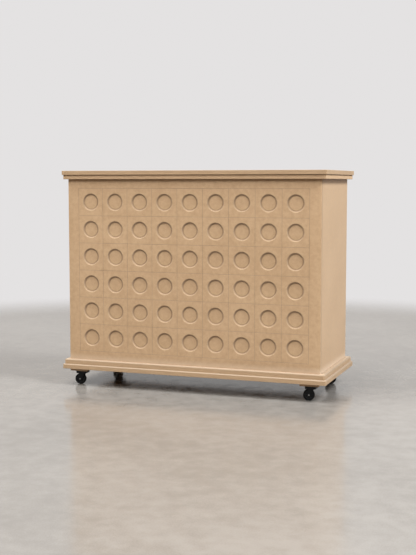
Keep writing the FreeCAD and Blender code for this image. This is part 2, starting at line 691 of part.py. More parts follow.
def make_fork(label):
    """Pressed fork: a round crown with a dust skirt, and two legs that lean back to the axle."""
    body = new_body(label)
    legs = new_sketch(body, "XZ_Plane")
    draw_leg(legs)
    add_pad(body, legs, f"2 * {LEG_OUTER}", both_ways=True)
    slot = new_sketch(body, "XY_Plane", ("0", "0", CROWN_Z))
    reach = "(Sizes.trail + Sizes.leg_eye + Sizes.leg_top_width)"
    draw_rectangle(slot, "0", "0", f"2 * {reach}", f"2 * {LEG_INNER}")
    add_pocket(body, slot, CROWN_Z)
    bore = "(Sizes.kingpin_diameter / 2 + Sizes.running_play)"
    skirt = f"({CROWN_RADIUS} - Sizes.skirt_wall)"
    skirt_top = f"({PLATE_Z} - Sizes.skirt_gap)"
    crown = new_sketch(body, "XZ_Plane")
    draw_outline(crown, [(bore, CROWN_Z), (CROWN_RADIUS, CROWN_Z), (CROWN_RADIUS, skirt_top),
                         (skirt, skirt_top), (skirt, CROWN_TOP_Z), (bore, CROWN_TOP_Z)])
    add_turned(body, crown, "V_Axis")
    cut_race(body)
    hole = new_sketch(body, "XZ_Plane")
    draw_circle(hole, "-Sizes.trail", AXLE_Z, "Sizes.axle_diameter + 2 * Sizes.running_play")
    add_pocket(body, hole, f"2 * {LEG_OUTER}", both_ways=True)
    return body


def make_axle(label):
    """Round-headed axle bolt through both legs, long enough for its nut."""
    body = new_body(label)
    radius = "Sizes.axle_diameter / 2"
    head = "Sizes.axle_head_diameter / 2"
    outer = f"-{LEG_OUTER}"
    dome = f"({outer} - Sizes.axle_head_height)"
    sketch = new_sketch(body, "YZ_Plane", ("0", AXLE_Z, "-Sizes.trail"))
    draw_outline(sketch, [(dome, "0"), (dome, head), (outer, head), (outer, radius),
                          (f"{LEG_OUTER} + Sizes.nut_height", radius),
                          (f"{LEG_OUTER} + Sizes.nut_height", "0")])
    turned = add_turned(body, sketch, "H_Axis")
    face = value(dome)
    ease_edges(body, turned, "Sizes.axle_head_round", lambda edge: abs(edge.BoundBox.YMin - face) < NEAR
               and edge.BoundBox.YLength < NEAR and edge.Curve.TypeId == "Part::GeomCircle", rounded=True)
    return body


def make_axle_nut(label):
    """Hexagon nut against the other leg."""
    body = new_body(label)
    corner = "Sizes.nut_across / sqrt(3)"
    flat = "Sizes.nut_across / 2"
    sketch = new_sketch(body, "XZ_Plane", ("-Sizes.trail", AXLE_Z, f"-{LEG_OUTER}"))
    draw_outline(sketch, [(corner, "0"), (f"{corner} / 2", flat), (f"-{corner} / 2", flat),
                          (f"-{corner}", "0"), (f"-{corner} / 2", f"-{flat}"), (f"{corner} / 2", f"-{flat}")])
    draw_circle(sketch, "0", "0", "Sizes.axle_diameter + 2 * Sizes.running_play")
    add_pad(body, sketch, "Sizes.nut_height", backwards=True)
    return body


def make_wheel_core(label):
    """Moulded wheel core: a hub on the axle, a thin web and a rim inside the tyre."""
    body = new_body(label)
    bore = "(Sizes.axle_diameter / 2 + Sizes.running_play)"
    hub = "Sizes.hub_diameter / 2"
    rim_outer = "(Sizes.wheel_diameter / 2 - Sizes.tyre_thickness)"
    rim_inner = f"({rim_outer} - Sizes.rim_thickness)"
    hub_face = f"({LEG_INNER} - Sizes.hub_side_gap)"
    web_face = "Sizes.web_thickness / 2"
    rim_face = "(Sizes.tyre_width / 2 - Sizes.rim_inset)"
    half = [(bore, hub_face), (hub, hub_face), (hub, web_face), (rim_inner, web_face),
            (rim_inner, rim_face), (rim_outer, rim_face)]
    points = [(face, radius) for radius, face in half]
    points += [(f"-{face}", radius) for radius, face in reversed(half)]
    sketch = new_sketch(body, "YZ_Plane", ("0", AXLE_Z, "-Sizes.trail"))
    draw_outline(sketch, points)
    add_turned(body, sketch, "H_Axis")
    return body


def make_tyre(label):
    """Solid tyre with rounded shoulders."""
    body = new_body(label)
    outer = "Sizes.wheel_diameter / 2"
    inner = f"({outer} - Sizes.tyre_thickness)"
    half = "Sizes.tyre_width / 2"
    sketch = new_sketch(body, "YZ_Plane", ("0", AXLE_Z, "-Sizes.trail"))
    draw_outline(sketch, [(f"-{half}", inner), (half, inner), (half, outer), (f"-{half}", outer)])
    turned = add_turned(body, sketch, "H_Axis")
    radius = value(outer)
    ease_edges(body, turned, "Sizes.tyre_shoulder", lambda edge: edge.Curve.TypeId == "Part::GeomCircle"
               and abs(edge.Curve.Radius - radius) < NEAR, rounded=True)
    return body


def make_caster(corner, x, y):
    """One caster: pad, plate and kingpin fixed to the plinth; the rest turned to its rest angle."""
    make_pad(f"{corner}_pad", x, y)
    place(make_plate(f"{corner}_plate"), x, y, "0")
    place(make_kingpin(f"{corner}_kingpin"), x, y, "0")
    for make, name in ((make_balls, "balls"), (make_fork, "fork"), (make_axle, "axle"),
                       (make_axle_nut, "axle_nut"), (make_wheel_core, "wheel_core"), (make_tyre, "tyre")):
        place(make(f"{corner}_{name}"), x, y, "0", f"Sizes.{corner}_turn")


def make_pad(label, x, y):
    """Board block between plinth and plate, drilled for the four screws."""
    pad = make_board(label, (PAD_SIDE, PAD_SIDE, "Sizes.pad_thickness"), (x, y, PAD_Z))
    ways = ("-", "")
    offsets = [(f"{x_way}{HOLE_OFFSET}", f"{y_way}{HOLE_OFFSET}") for x_way in ways for y_way in ways]
    drill(pad, offsets, SCREW_HOLE, "Sizes.pad_thickness")


def write_nodes():
    """Check every object of the document, then write each node to its own file."""
    document.recompute()
    for item in document.Objects:
        if "Invalid" in item.State or "Error" in item.State:
            raise RuntimeError(f"{item.Label} failed: {item.State}")
    for node in NODES:
        if node.Shape.isNull() or not node.Shape.isValid():
            raise RuntimeError(f"{node.Label} has no valid shape")
    os.makedirs("parts", exist_ok=True)
    for node in NODES:
        node.Shape.exportStep(f"parts/{node.Label}.step")
        box = node.Shape.BoundBox
        print(f"{node.Label}: {len(node.Shape.Solids)} solids, volume {node.Shape.Volume:.0f},",
              f"x {box.XMin:.1f} {box.XMax:.1f}, y {box.YMin:.1f} {box.YMax:.1f},",
              f"z {box.ZMin:.1f} {box.ZMax:.1f}")


make_worktop()
make_plinth()
make_front_panel()
make_uprights()
make_shelf("left_shelf", "-1")
make_shelf("right_shelf", "1")
make_battens()
make_shelf_pins()
for corner_name, pivot in PIVOTS.items():
    make_caster(corner_name, *pivot)
make_screws("caster_screws", caster_screw_points(), PLATE_Z, "(Sizes.plate_thickness + Sizes.pad_thickness)")
write_nodes()
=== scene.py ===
import json
import math

import bmesh
import bpy
import numpy as np
from bpy.props import FloatProperty, FloatVectorProperty, IntProperty, PointerProperty
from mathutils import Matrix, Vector


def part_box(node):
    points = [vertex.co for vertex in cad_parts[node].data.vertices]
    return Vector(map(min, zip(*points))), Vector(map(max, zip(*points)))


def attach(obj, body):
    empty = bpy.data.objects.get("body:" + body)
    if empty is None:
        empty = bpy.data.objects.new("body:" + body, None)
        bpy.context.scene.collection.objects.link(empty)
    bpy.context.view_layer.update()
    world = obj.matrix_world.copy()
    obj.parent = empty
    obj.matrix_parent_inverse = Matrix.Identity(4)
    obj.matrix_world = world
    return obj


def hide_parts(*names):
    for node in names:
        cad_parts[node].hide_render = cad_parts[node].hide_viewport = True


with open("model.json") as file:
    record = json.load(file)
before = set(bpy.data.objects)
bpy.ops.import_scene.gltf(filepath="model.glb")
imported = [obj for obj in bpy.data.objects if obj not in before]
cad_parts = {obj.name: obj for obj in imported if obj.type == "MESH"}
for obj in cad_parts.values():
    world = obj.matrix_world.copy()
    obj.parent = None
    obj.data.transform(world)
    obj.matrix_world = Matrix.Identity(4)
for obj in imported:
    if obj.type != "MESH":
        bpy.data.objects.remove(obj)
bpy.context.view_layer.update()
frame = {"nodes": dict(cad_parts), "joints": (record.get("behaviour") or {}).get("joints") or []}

bl_info = {
    "name": "Display Cart Finisher",
    "version": (1, 0, 0),
    "blender": (4, 5, 0),
    "location": "View3D > Sidebar > Display Cart",
    "description": "Dresses the packed display cart: boards, recessed front, casters and studio",
    "category": "Object",
}

MM = 0.001
WELD = 1e-6
SMOOTH_BELOW = math.radians(35)
QUARTER_TURN = math.pi / 2
CORNERS = ("front_left", "front_right", "rear_left", "rear_right")
JOINTS = {joint["name"]: joint for joint in frame["joints"]}
X_AXIS, Y_AXIS, Z_AXIS = range(3)
RIGHT = np.array([1.0, 0.0, 0.0])
UP = np.array([0.0, 0.0, 1.0])

# Thickness direction of every board
BOARDS = {
    "worktop_upper": Z_AXIS,
    "worktop_lower": Z_AXIS,
    "plinth_upper": Z_AXIS,
    "plinth_lower": Z_AXIS,
    "left_side": X_AXIS,
    "right_side": X_AXIS,
    "centre_divider": X_AXIS,
    "back_top_rail": Y_AXIS,
    "left_shelf": Z_AXIS,
    "right_shelf": Z_AXIS,
    **{f"{corner}_pad": Z_AXIS for corner in CORNERS},
}
PANEL_SEED = 17

# Boards whose sawn edges are painted lighter, painted light on an edge that lies in the shade of the board
# above, and by how much
PAINTED_EDGE_LIGHT = {"worktop_lower": 1.25}

# Boards whose upper faces are painted darker, painted shade that holds back the strong light from above: its
# colour and its share
UPPER_FACE_SHADE = {
    "worktop_upper": ("worktop_top_shade", 0.80),
    "plinth_upper": ("plinth_top_shade", 0.55),
    "plinth_lower": ("plinth_top_shade", 0.55),
}

# Screw groups, and the end that their heads are on: -1 below, 1 above
SCREWS = {
    "worktop_screws": -1,
    "plinth_screws": -1,
    "worktop_batten_screws": -1,
    "floor_batten_screws": 1,
    "caster_screws": -1,
}


def length(label, description, millimetres):
    """A length that a user may change, given in millimetres."""
    return FloatProperty(name=label, description=description, default=millimetres * MM,
                         min=0.0, unit="LENGTH", precision=5)


def tint(label, description, colour):
    """A linear colour that a user may change."""
    return FloatVectorProperty(name=label, description=description, default=colour,
                               size=3, min=0.0, max=1.0, subtype="COLOR")


def amount(label, description, default, subtype="NONE"):
    """A plain number that a user may change."""
    return FloatProperty(name=label, description=description, default=default, subtype=subtype)


class CartSizes(bpy.types.PropertyGroup):
    """Sizes of the modelled pieces."""

    columns: IntProperty(name="Columns", description="Recesses along the front", default=9, min=1)
    rows: IntProperty(name="Rows", description="Recesses up the front", default=6, min=1)
    grid_side_margin: length("Side Margin", "Plain board beside the grid", 51.5)
    grid_end_margin: length("End Margin", "Plain board above and below the grid", 41)
    recess_diameter: length("Recess Diameter", "Width of a dished recess", 77)
    recess_depth: length("Recess Depth", "Depth of a recess floor", 4.5)
    recess_bevel: length("Recess Bevel", "Run of the sloping wall of a recess", 5.5)
    recess_rim: length("Recess Rim", "Round on the rim of a recess", 1.0)
    recess_foot: length("Recess Foot", "Round at the foot of the sloping wall", 0.5)
    # Painted shade: half width of the dark ring painted beside the foot of a recess wall
    shade_ring_width: length("Burnish Width", "Half width of the ring that the cutter burnished", 2)
    score_width: length("Score Width", "Width of the scored lines", 1.2)
    score_depth: length("Score Depth", "Depth of the scored lines", 0.6)
    # Painted light: height of the pale band at the foot of a standing board, light thrown up from below
    # painted into its colour
    painted_foot_light_height: length("Dust Height", "How far dust lies up a standing board", 32)
    edge_ease: length("Edge Ease", "Sanded round on the front panel's edges", 0.8)
    batten: length("Batten", "Width of the joining strips", 28)
    screw_head: length("Screw Head", "Width of a round screw head", 8)
    screw_head_height: length("Screw Head Height", "Height of a round screw head", 2.4)
    screw_shank: length("Screw Shank", "Width of a screw shank", 4)
    plate_corner: length("Plate Corner", "Round in the plan of a caster plate", 5)
    plate_ease: length("Plate Ease", "Round on the lower edges of a caster plate", 0.7)
    plate_bend: length("Plate Bend", "Bend between plate and rim", 2)
    plate_thickness: length("Plate Thickness", "Thickness of a caster plate", 2.5)
    plate_rim: length("Plate Rim", "Wall of the turned-down rim", 2)
    crown_radius: length("Crown Radius", "Outer radius of the fork crown", 17.5)
    crown_height: length("Crown Height", "Underside of the crown above the floor", 59)
    crown_thickness: length("Crown Thickness", "Thickness of the crown", 3)
    skirt_height: length("Skirt Height", "Top of the dust skirt above the floor", 64.1)
    skirt_wall: length("Skirt Wall", "Thickness of the dust skirt", 1.8)
    race_radius: length("Race Radius", "Radius of the ring of balls", 12.4)
    ball_diameter: length("Ball Diameter", "Diameter of a bearing ball with its play", 4)
    kingpin_radius: length("Kingpin Radius", "Radius of the kingpin", 4)
    kingpin_head: length("Kingpin Head", "Radius of the kingpin's head", 7.5)
    leg_thickness: length("Leg Thickness", "Sheet thickness of a fork leg", 2.2)
    leg_outer: length("Leg Outer", "Outer face of a leg from the wheel's middle", 12.4)
    leg_top_width: length("Leg Top Width", "Width of a leg under the crown", 31)
    leg_eye: length("Leg Eye", "Radius of the round end of a leg", 8.5)
    leg_bend: length("Leg Bend", "Bend between leg and crown", 3)
    wheel_radius: length("Wheel Radius", "Outer radius of the tyre", 25)
    tyre_width: length("Tyre Width", "Width of the tyre", 18)
    tyre_thickness: length("Tyre Thickness", "Thickness of the tyre", 6)
    tyre_shoulder: length("Tyre Shoulder", "Round on the tyre's shoulders", 3)
    rim_thickness: length("Rim Thickness", "Thickness of the wheel's rim", 2.6)
    rim_face: length("Rim Face", "Face of the rim from the wheel's middle", 8)
    web_face: length("Web Face", "Face of the web from the wheel's middle", 3.5)
    rib_face: length("Rib Face", "Face of the ribs from the wheel's middle", 6.6)
    rib_width: length("Rib Width", "Width of a moulded rib", 2.2)
    rib_count: IntProperty(name="Ribs", description="Ribs on each side of a wheel", default=6, min=3)
    hub_radius: length("Hub Radius", "Radius of the hub", 7.5)
    hub_face: length("Hub Face", "Face of the hub from the wheel's middle", 9.7)
    axle_radius: length("Axle Radius", "Radius of the axle", 3)
    axle_play: length("Axle Play", "Room between axle and hub", 0.05)
    axle_head: length("Axle Head", "Radius of the axle's head", 4)
    axle_head_height: length("Axle Head Height", "Height of the axle's head", 2.6)
    nut_flat: length("Nut Flat", "Middle of the nut to a flat", 5)
    nut_height: length("Nut Height", "Height of the nut", 4)


class CartColours(bpy.types.PropertyGroup):
    """Colours of the finishes, linear."""

    board_light: tint("Board Light", "Lighter fibres on a board's face", (0.500, 0.328, 0.190))
    board_dark: tint("Board Dark", "Darker fibres on a board's face", (0.405, 0.253, 0.138))
    edge_light: tint("Edge Light", "Lighter layers on a sawn edge", (0.440, 0.290, 0.170))
    edge_dark: tint("Edge Dark", "Darker layers on a sawn edge", (0.345, 0.218, 0.122))
    # Sanded bevels and rounded edges; their darker, greyer tone is also painted shade that holds down the
    # highlight where they catch the light
    arris: tint("Arris", "Sanded bevels and rounded edges", (0.318, 0.228, 0.154))
    # Painted light: the pale colour of the band at the foot of a standing board, light thrown up from the
    # plinth and floor
    dust: tint("Dust", "Pale dust at the foot of a standing board", (0.750, 0.600, 0.460))
    # Painted shade: a darker tone for the upper faces of the plinth, holding back the strong light from
    # above
    plinth_top_shade: tint("Settled Dust", "Grey dust on top of the plinth", (0.370, 0.285, 0.205))
    # Painted shade: a darker tone for the upper face of the worktop, holding back the strong light from
    # above
    worktop_top_shade: tint("Handled", "Worktop that hands have darkened", (0.300, 0.215, 0.140))
    # Painted shade: this dark colour is painted into the bottom of the scored lines and into the ring at the
    # foot of each recess wall
    score: tint("Score", "Burnished bottom of the scored lines", (0.090, 0.050, 0.024))
    fleck: tint("Fleck", "Bark flecks in the board", (0.190, 0.102, 0.048))
    fuzz: tint("Fuzz", "Sheen of the raised fibres", (1.000, 0.970, 0.930))
    softwood_light: tint("Softwood Light", "Early wood of the battens", (0.640, 0.430, 0.220))
    softwood_dark: tint("Softwood Dark", "Late wood of the battens", (0.430, 0.240, 0.096))
    zinc: tint("Zinc", "Plated screws", (0.600, 0.580, 0.520))
    nickel: tint("Nickel", "Plated shelf pins", (0.640, 0.630, 0.610))
    bright_steel: tint("Bright Steel", "Axles and nuts", (0.330, 0.327, 0.318))
    ball_steel: tint("Ball Steel", "Polished balls", (0.760, 0.760, 0.760))
    black_coat: tint("Black Coat", "Powder coat of the forks and plates", (0.004, 0.004, 0.0045))
    scuffed_coat: tint("Scuffed Coat", "Rubbed places on the coat", (0.012, 0.012, 0.0125))
    wheel_plastic: tint("Wheel Plastic", "Moulded wheel cores", (0.007, 0.007, 0.0075))
    tyre_rubber: tint("Tyre Rubber", "Solid tyres", (0.008, 0.008, 0.008))
    tyre_dust: tint("Tyre Dust", "Floor dust on the treads", (0.045, 0.041, 0.037))


class CartStudio(bpy.types.PropertyGroup):
    """Camera, light and floor."""

    camera_place: FloatVectorProperty(name="Camera", description="Place of the camera", size=3,
                                      default=(1.62862, -4.48538, 0.92536), subtype="TRANSLATION",
                                      unit="LENGTH")
    camera_yaw: amount("Yaw", "Turn of the camera to the right of +Y", -0.34915, "ANGLE")
    camera_pitch: amount("Pitch", "Tilt of the camera below the horizon", 0.0904, "ANGLE")
    camera_lens: amount("Lens", "Focal length in millimetres on a 36 mm long side", 67.502)
    backdrop: tint("Backdrop", "Pale room behind the cart", (0.775, 0.760, 0.760))
    room_light: tint("Room Light", "Warm light that the room throws back", (0.056, 0.047, 0.038))
    room_mirrored: tint("Room Mirrored", "The room as glossy surfaces show it", (0.570, 0.558, 0.550))
    overhead_power: amount("Overhead Power", "Watts of the soft light high at the front left", 250.0)
    plain_white: tint("Plain White", "Colour of the overhead and rear lights", (1.0, 1.0, 1.0))
    ceiling_power: amount("Ceiling Power", "Watts of the wide light overhead", 1415.0)
    ceiling_colour: tint("Ceiling Colour", "Cool white of the wide light overhead", (0.93, 0.97, 1.00))
    key_power: amount("Key Power", "Watts of the high light at the right", 1130.0)
    key_colour: tint("Key Colour", "Cool daylight of the lights at the right", (0.86, 0.93, 1.00))
    side_power: amount("Side Power", "Watts of the fill light at the front right", 190.0)
    rear_power: amount("Rear Power", "Watts of the soft light behind the cart", 360.0)
    floor_light: tint("Floor Light", "Lighter patches of the floor", (0.232, 0.206, 0.180))
    floor_dark: tint("Floor Dark", "Darker patches of the floor", (0.185, 0.162, 0.140))
    floor_reach: length("Floor Reach", "Radius of the floor", 5200)
    floor_fade: length("Floor Fade", "Radius at which the floor begins to fade", 2700)


# Surfaces

def surface(grid, wrap_rows=False, wrap_columns=False):
    """Points and quads of a grid of points: each quad joins neighbours in the two directions, and runs
    round where one wraps."""
    rows, columns = grid.shape[:2]
    row = np.arange(rows if wrap_rows else rows - 1)[:, None]
    column = np.arange(columns if wrap_columns else columns - 1)[None, :]
    this_row = row * columns
    next_row = (row + 1) % rows * columns
    next_column = (column + 1) % columns
    quads = np.stack(np.broadcast_arrays(this_row + column, next_row + column, next_row + next_column,
                                         this_row + next_column), axis=-1)
    return grid.reshape(-1, 3), quads.reshape(-1, 4)


def join(surfaces):
    """Several surfaces as one: their points in a row, their quads counted on."""
    starts = np.cumsum([0] + [len(points) for points, _ in surfaces[:-1]])
    points = np.concatenate([points for points, _ in surfaces])
    return points, np.concatenate([quads + start for (_, quads), start in zip(surfaces, starts)])


def repeat(shape, places):
    """One surface at many places: every place added to every point."""
    points, quads = shape
    starts = np.arange(len(places))[:, None, None] * len(points)
    return (places[:, None, :] + points).reshape(-1, 3), (quads + starts).reshape(-1, 4)


def rounded(corners, steps=4):
    """Corners (out, up, reach) with straight runs between; each is eased by a quadratic curve that begins
    and ends its reach away: (1 - t)^2 start + 2 t (1 - t) corner + t^2 end."""
    corners = np.asarray(corners, float)
    point, reach = corners[:, :2], corners[:, 2:]
    before = np.roll(point, 1, axis=0) - point
    after = np.roll(point, -1, axis=0) - point
    start = point + reach * before / np.linalg.norm(before, axis=1, keepdims=True)
    end = point + reach * after / np.linalg.norm(after, axis=1, keepdims=True)
    t = np.linspace(0, 1, steps)[None, :, None]
    curve = (1 - t) ** 2 * start[:, None] + 2 * t * (1 - t) * point[:, None] + t ** 2 * end[:, None]
    return curve.reshape(-1, 2)


def arc(centre, radius, start, stop, steps):
    """Points of a circle's arc: centre + radius (cos a, sin a), a from start to stop."""
    angle = np.linspace(start, stop, steps)
    return np.asarray(centre) + radius * np.column_stack([np.cos(angle), np.sin(angle)])


def spokes(count, axis, side):
    """Unit vectors round an axis: side cos a + (axis x side) sin a."""
    angle = np.linspace(0, 2 * math.pi, count, endpoint=False)[:, None]
    return np.cos(angle) * side + np.sin(angle) * np.cross(axis, side)


def turned(profile, centre, axis, side, count, closed=False):
    """A profile of (radius, height) carried round an axis: centre + radius spoke + height axis."""
    grid = centre + profile[:, 0, None, None] * spokes(count, axis, side) + profile[:, 1, None, None] * axis
    return surface(grid, wrap_rows=closed, wrap_columns=True)


def make_mesh(name, shape, marks=None):
    """A mesh from a surface: points that meet are made one, pinched quads become triangles, and faces
    turn outwards. Marks are named values, one for each point."""
    points, quads = shape
    keys = np.round(points / WELD).astype(np.int64)
    _, first, merged = np.unique(keys, axis=0, return_index=True, return_inverse=True)
    quads = merged.reshape(-1)[quads]
    pinched = quads == np.roll(quads, -1, axis=1)
    sides = 4 - pinched.sum(axis=1)
    squares = quads[sides == 4]
    triangles = quads[sides == 3][~pinched[sides == 3]].reshape(-1, 3)
    mesh = bpy.data.meshes.new(name)
    mesh.from_pydata(points[first].tolist(), [], squares.tolist() + triangles.tolist())
    shell = bmesh.new()
    shell.from_mesh(mesh)
    bmesh.ops.recalc_face_normals(shell, faces=shell.faces)
    shell.to_mesh(mesh)
    shell.free()
    for mark, values in (marks or {}).items():
        attribute = mesh.attributes.new(mark, "FLOAT", "POINT")
        attribute.data.foreach_set("value", values[first].astype(np.float32))
    mesh.polygons.foreach_set("use_smooth", np.ones(len(mesh.polygons), bool))
    mesh.set_sharp_from_angle(angle=SMOOTH_BELOW)
    return mesh


def add_piece(name, shape, finish, body, slot, *nodes, marks=None):
    """A piece of the cart from a surface: it rides a body and stands for CAD nodes."""
    mesh = make_mesh(name, shape, marks)
    piece = bpy.data.objects.new(name, mesh)
    bpy.context.scene.collection.objects.link(piece)
    mesh.materials.append(finish)
    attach(piece, body)
    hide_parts(*nodes)
    return piece


def dress(node, finish):
    """Gives a CAD node that stays in view its finish."""
    mesh = frame["nodes"][node].data
    mesh.materials.clear()
    mesh.materials.append(finish)


def middle_and_half(node, axis):
    """Middle and half thickness of a node along an axis."""
    low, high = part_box(node)
    return (low[axis] + high[axis]) / 2, (high[axis] - low[axis]) / 2


# Finishes

def rgba(colour, gain=1.0):
    """A linear colour with full alpha, made lighter or darker by a gain."""
    return (*(channel * gain for channel in colour), 1.0)


class Finish:
    """One procedural material whose patterns lie in Object coordinates."""

    def __init__(self, name):
        self.material = bpy.data.materials.new(name)
        self.material.use_nodes = True
        self.tree = self.material.node_tree
        self.shader = self.tree.nodes["Principled BSDF"]
        coordinates = self.add("ShaderNodeTexCoord")
        self.place = coordinates.outputs["Object"]
        self.normal = coordinates.outputs["Normal"]

    def feed(self, socket, value):
        """Links a socket to another, or sets its own value."""
        if isinstance(value, bpy.types.NodeSocket):
            self.tree.links.new(value, socket)
        else:
            socket.default_value = value

    def add(self, kind, inputs=None, **settings):
        """A new node with its settings and inputs."""
        node = self.tree.nodes.new(kind)
        for key, setting in settings.items():
            setattr(node, key, setting)
        for key, value in (inputs or {}).items():
            self.feed(node.inputs[key], value)
        return node

    def moved(self, scale=(1, 1, 1), turn=(0, 0, 0), shift=(0, 0, 0), vector=None):
        """Coordinates stretched, turned and shifted."""
        return self.add("ShaderNodeMapping", {"Vector": vector or self.place, "Scale": scale,
                                              "Rotation": turn, "Location": shift}).outputs[0]

    def noise(self, vector, scale, detail=3.0, roughness=0.5):
        """Smooth random values about one half, with a scale in waves a metre on plain coordinates."""
        return self.add("ShaderNodeTexNoise", {"Vector": vector, "Scale": scale, "Detail": detail,
                                               "Roughness": roughness}).outputs[0]

    def span(self, value, low, high, to_low=0.0, to_high=1.0):
        """A value between two limits, eased onto two others."""
        limits = {"Value": value, "From Min": low, "From Max": high, "To Min": to_low, "To Max": to_high}
        return self.add("ShaderNodeMapRange", limits, interpolation_type="SMOOTHSTEP").outputs[0]

    def work(self, operation, first, second=0.0, third=0.0):
        """One step of arithmetic."""
        return self.add("ShaderNodeMath", {0: first, 1: second, 2: third}, operation=operation).outputs[0]

    def part(self, vector, axis):
        """One component of a vector."""
        return self.add("ShaderNodeSeparateXYZ", {0: vector}).outputs[axis]

    def blend(self, share, first, second):
        """Two colours mixed by a share."""
        return self.add("ShaderNodeMix", {0: share, 6: first, 7: second}, data_type="RGBA").outputs[2]

    def level(self, share, first, second):
        """Two values mixed by a share."""
        return self.add("ShaderNodeMix", {0: share, 2: first, 3: second}, data_type="FLOAT").outputs[0]

    def mark(self, name):
        """A value that the mesh carries."""
        return self.add("ShaderNodeAttribute", attribute_name=name).outputs["Fac"]

    def bump(self, height, strength, distance):
        """Fine relief from a height."""
        node = self.add("ShaderNodeBump", {"Height": height, "Strength": strength, "Distance": distance})
        self.feed(self.shader.inputs["Normal"], node.outputs[0])

    def give(self, **sockets):
        """Sets or links sockets of the shader, named with underscores for spaces."""
        for key, value in sockets.items():
            self.feed(self.shader.inputs[key.replace("_", " ")], value)


# Shares of the tones that lie over plain fibreboard; the recess, groove and foot shares carry painted shade
# and painted light
SKIN_SHARE = 0.30
MILLED_SHARE = 0.45
RING_SHADE_SHARE = 0.45
GROOVE_SHADE_SHARE = 0.65
PAINTED_FOOT_LIGHT_SHARE = 0.40
FLECK_SHARE = 0.55

# How far one board's pattern lies from the next one's
SEED_STEP = (0.37, 0.61, 0.23)


def fibreboard(name, node, axis, seed, painted_light_gain=1.0, milled=False):
    """Raw fibreboard: clouds, mottles and short crossed fibres on the faces, layered streaks on sawn
    edges, a few bark flecks and open fibre where a cutter has been. Painted shade darkens the scored lines,
    the recesses, upper faces and bevels; painted light lifts some boards' sawn edges and lays a pale band
    at the foot of a standing board."""
    colours = bpy.context.scene.cart_colours
    finish = Finish(name)
    place = finish.moved(shift=tuple(seed * step for step in SEED_STEP))
    cloud = finish.noise(place, 5.0, 3.0)
    mottle = finish.noise(place, 62.0, 5.0, 0.62)
    fibre_one = finish.noise(finish.moved((1700, 340, 900), (0.4, 0.3, 0.6), vector=place), 1.0, 2.0)
    fibre_two = finish.noise(finish.moved((360, 1500, 800), (-0.5, 0.2, -0.3), vector=place), 1.0, 2.0)
    fibre = finish.work("MULTIPLY", finish.work("ADD", fibre_one, fibre_two), 0.5)
    fine_tone = finish.work("MULTIPLY_ADD", mottle, 0.47, finish.work("MULTIPLY", fibre, 0.35))
    tone = finish.work("MULTIPLY_ADD", cloud, 0.18, fine_tone)
    face = finish.blend(finish.span(tone, 0.33, 0.67), rgba(colours.board_dark), rgba(colours.board_light))

    layers = [24.0, 24.0, 24.0]
    layers[axis] = 900.0
    streak = finish.noise(finish.moved(tuple(layers), vector=place), 1.0, 4.0, 0.6)
    # Painted light: the sawn edge colours are raised by the gain on the boards listed for it
    edge = finish.blend(finish.span(streak, 0.34, 0.66), rgba(colours.edge_dark, painted_light_gain),
                        rgba(colours.edge_light, painted_light_gain))
    middle, half = middle_and_half(node, axis)
    off_middle = finish.work("ABSOLUTE", finish.work("SUBTRACT", finish.part(finish.place, axis), middle))
    skin = finish.span(off_middle, half * 0.55, half, 0.0, SKIN_SHARE)
    edge = finish.blend(skin, edge, rgba(colours.edge_dark))
    facing = finish.work("ABSOLUTE", finish.part(finish.normal, axis))
    # Painted shade: bevels and rounded edges take the arris tone, which holds down their highlight
    edge = finish.blend(finish.span(facing, 0.30, 0.60), edge, rgba(colours.arris))
    sawn = finish.span(facing, 0.76, 0.96, 1.0, 0.0)
    if milled:
        sawn = finish.work("MULTIPLY", sawn, finish.level(finish.mark("milled"), 1.0, MILLED_SHARE))
    colour = finish.blend(sawn, face, edge)

    # Painted shade: the scored lines and the recess walls are darkened with the score colour
    if milled:
        scored = finish.work("MULTIPLY", finish.mark("scored"), GROOVE_SHADE_SHARE)
        dark = finish.work("MULTIPLY_ADD", finish.mark("burnished"), RING_SHADE_SHARE, scored)
        colour = finish.blend(dark, colour, rgba(colours.score))
    # Painted shade: upper faces are painted darker where the strong light from above falls
    if node in UPPER_FACE_SHADE:
        shade_tone, share = UPPER_FACE_SHADE[node]
        lying = finish.span(finish.part(finish.normal, Z_AXIS), 0.80, 1.00, 0.0, share)
        colour = finish.blend(lying, colour, rgba(getattr(colours, shade_tone)))
    # Painted light: a pale band at the foot of a standing board stands in for light thrown up from the
    # plinth and floor
    if axis != Z_AXIS:
        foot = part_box(node)[0].z
        height = bpy.context.scene.cart_sizes.painted_foot_light_height
        dust = finish.span(finish.part(finish.place, Z_AXIS), foot, foot + height, PAINTED_FOOT_LIGHT_SHARE, 0.0)
        colour = finish.blend(dust, colour, rgba(colours.dust))
    fleck = finish.span(finish.noise(place, 430.0, 2.0), 0.685, 0.745, 0.0, FLECK_SHARE)
    gloss = finish.span(mottle, 0.3, 0.7, 0.44, 0.54)
    finish.give(Base_Color=finish.blend(fleck, colour, rgba(colours.fleck)),
                Roughness=finish.work("MULTIPLY_ADD", sawn, 0.24, gloss), Specular_IOR_Level=0.3,
                Sheen_Weight=0.12, Sheen_Roughness=0.40, Sheen_Tint=rgba(colours.fuzz))
    finish.bump(finish.level(sawn, fibre, streak), 0.16, 0.0005)
    return finish.material


# Waves in a metre along and across softwood's growth lines and its pores
GROWTH_WAVES = (2.2, 150.0)
PORE_WAVES = (25.0, 1300.0)


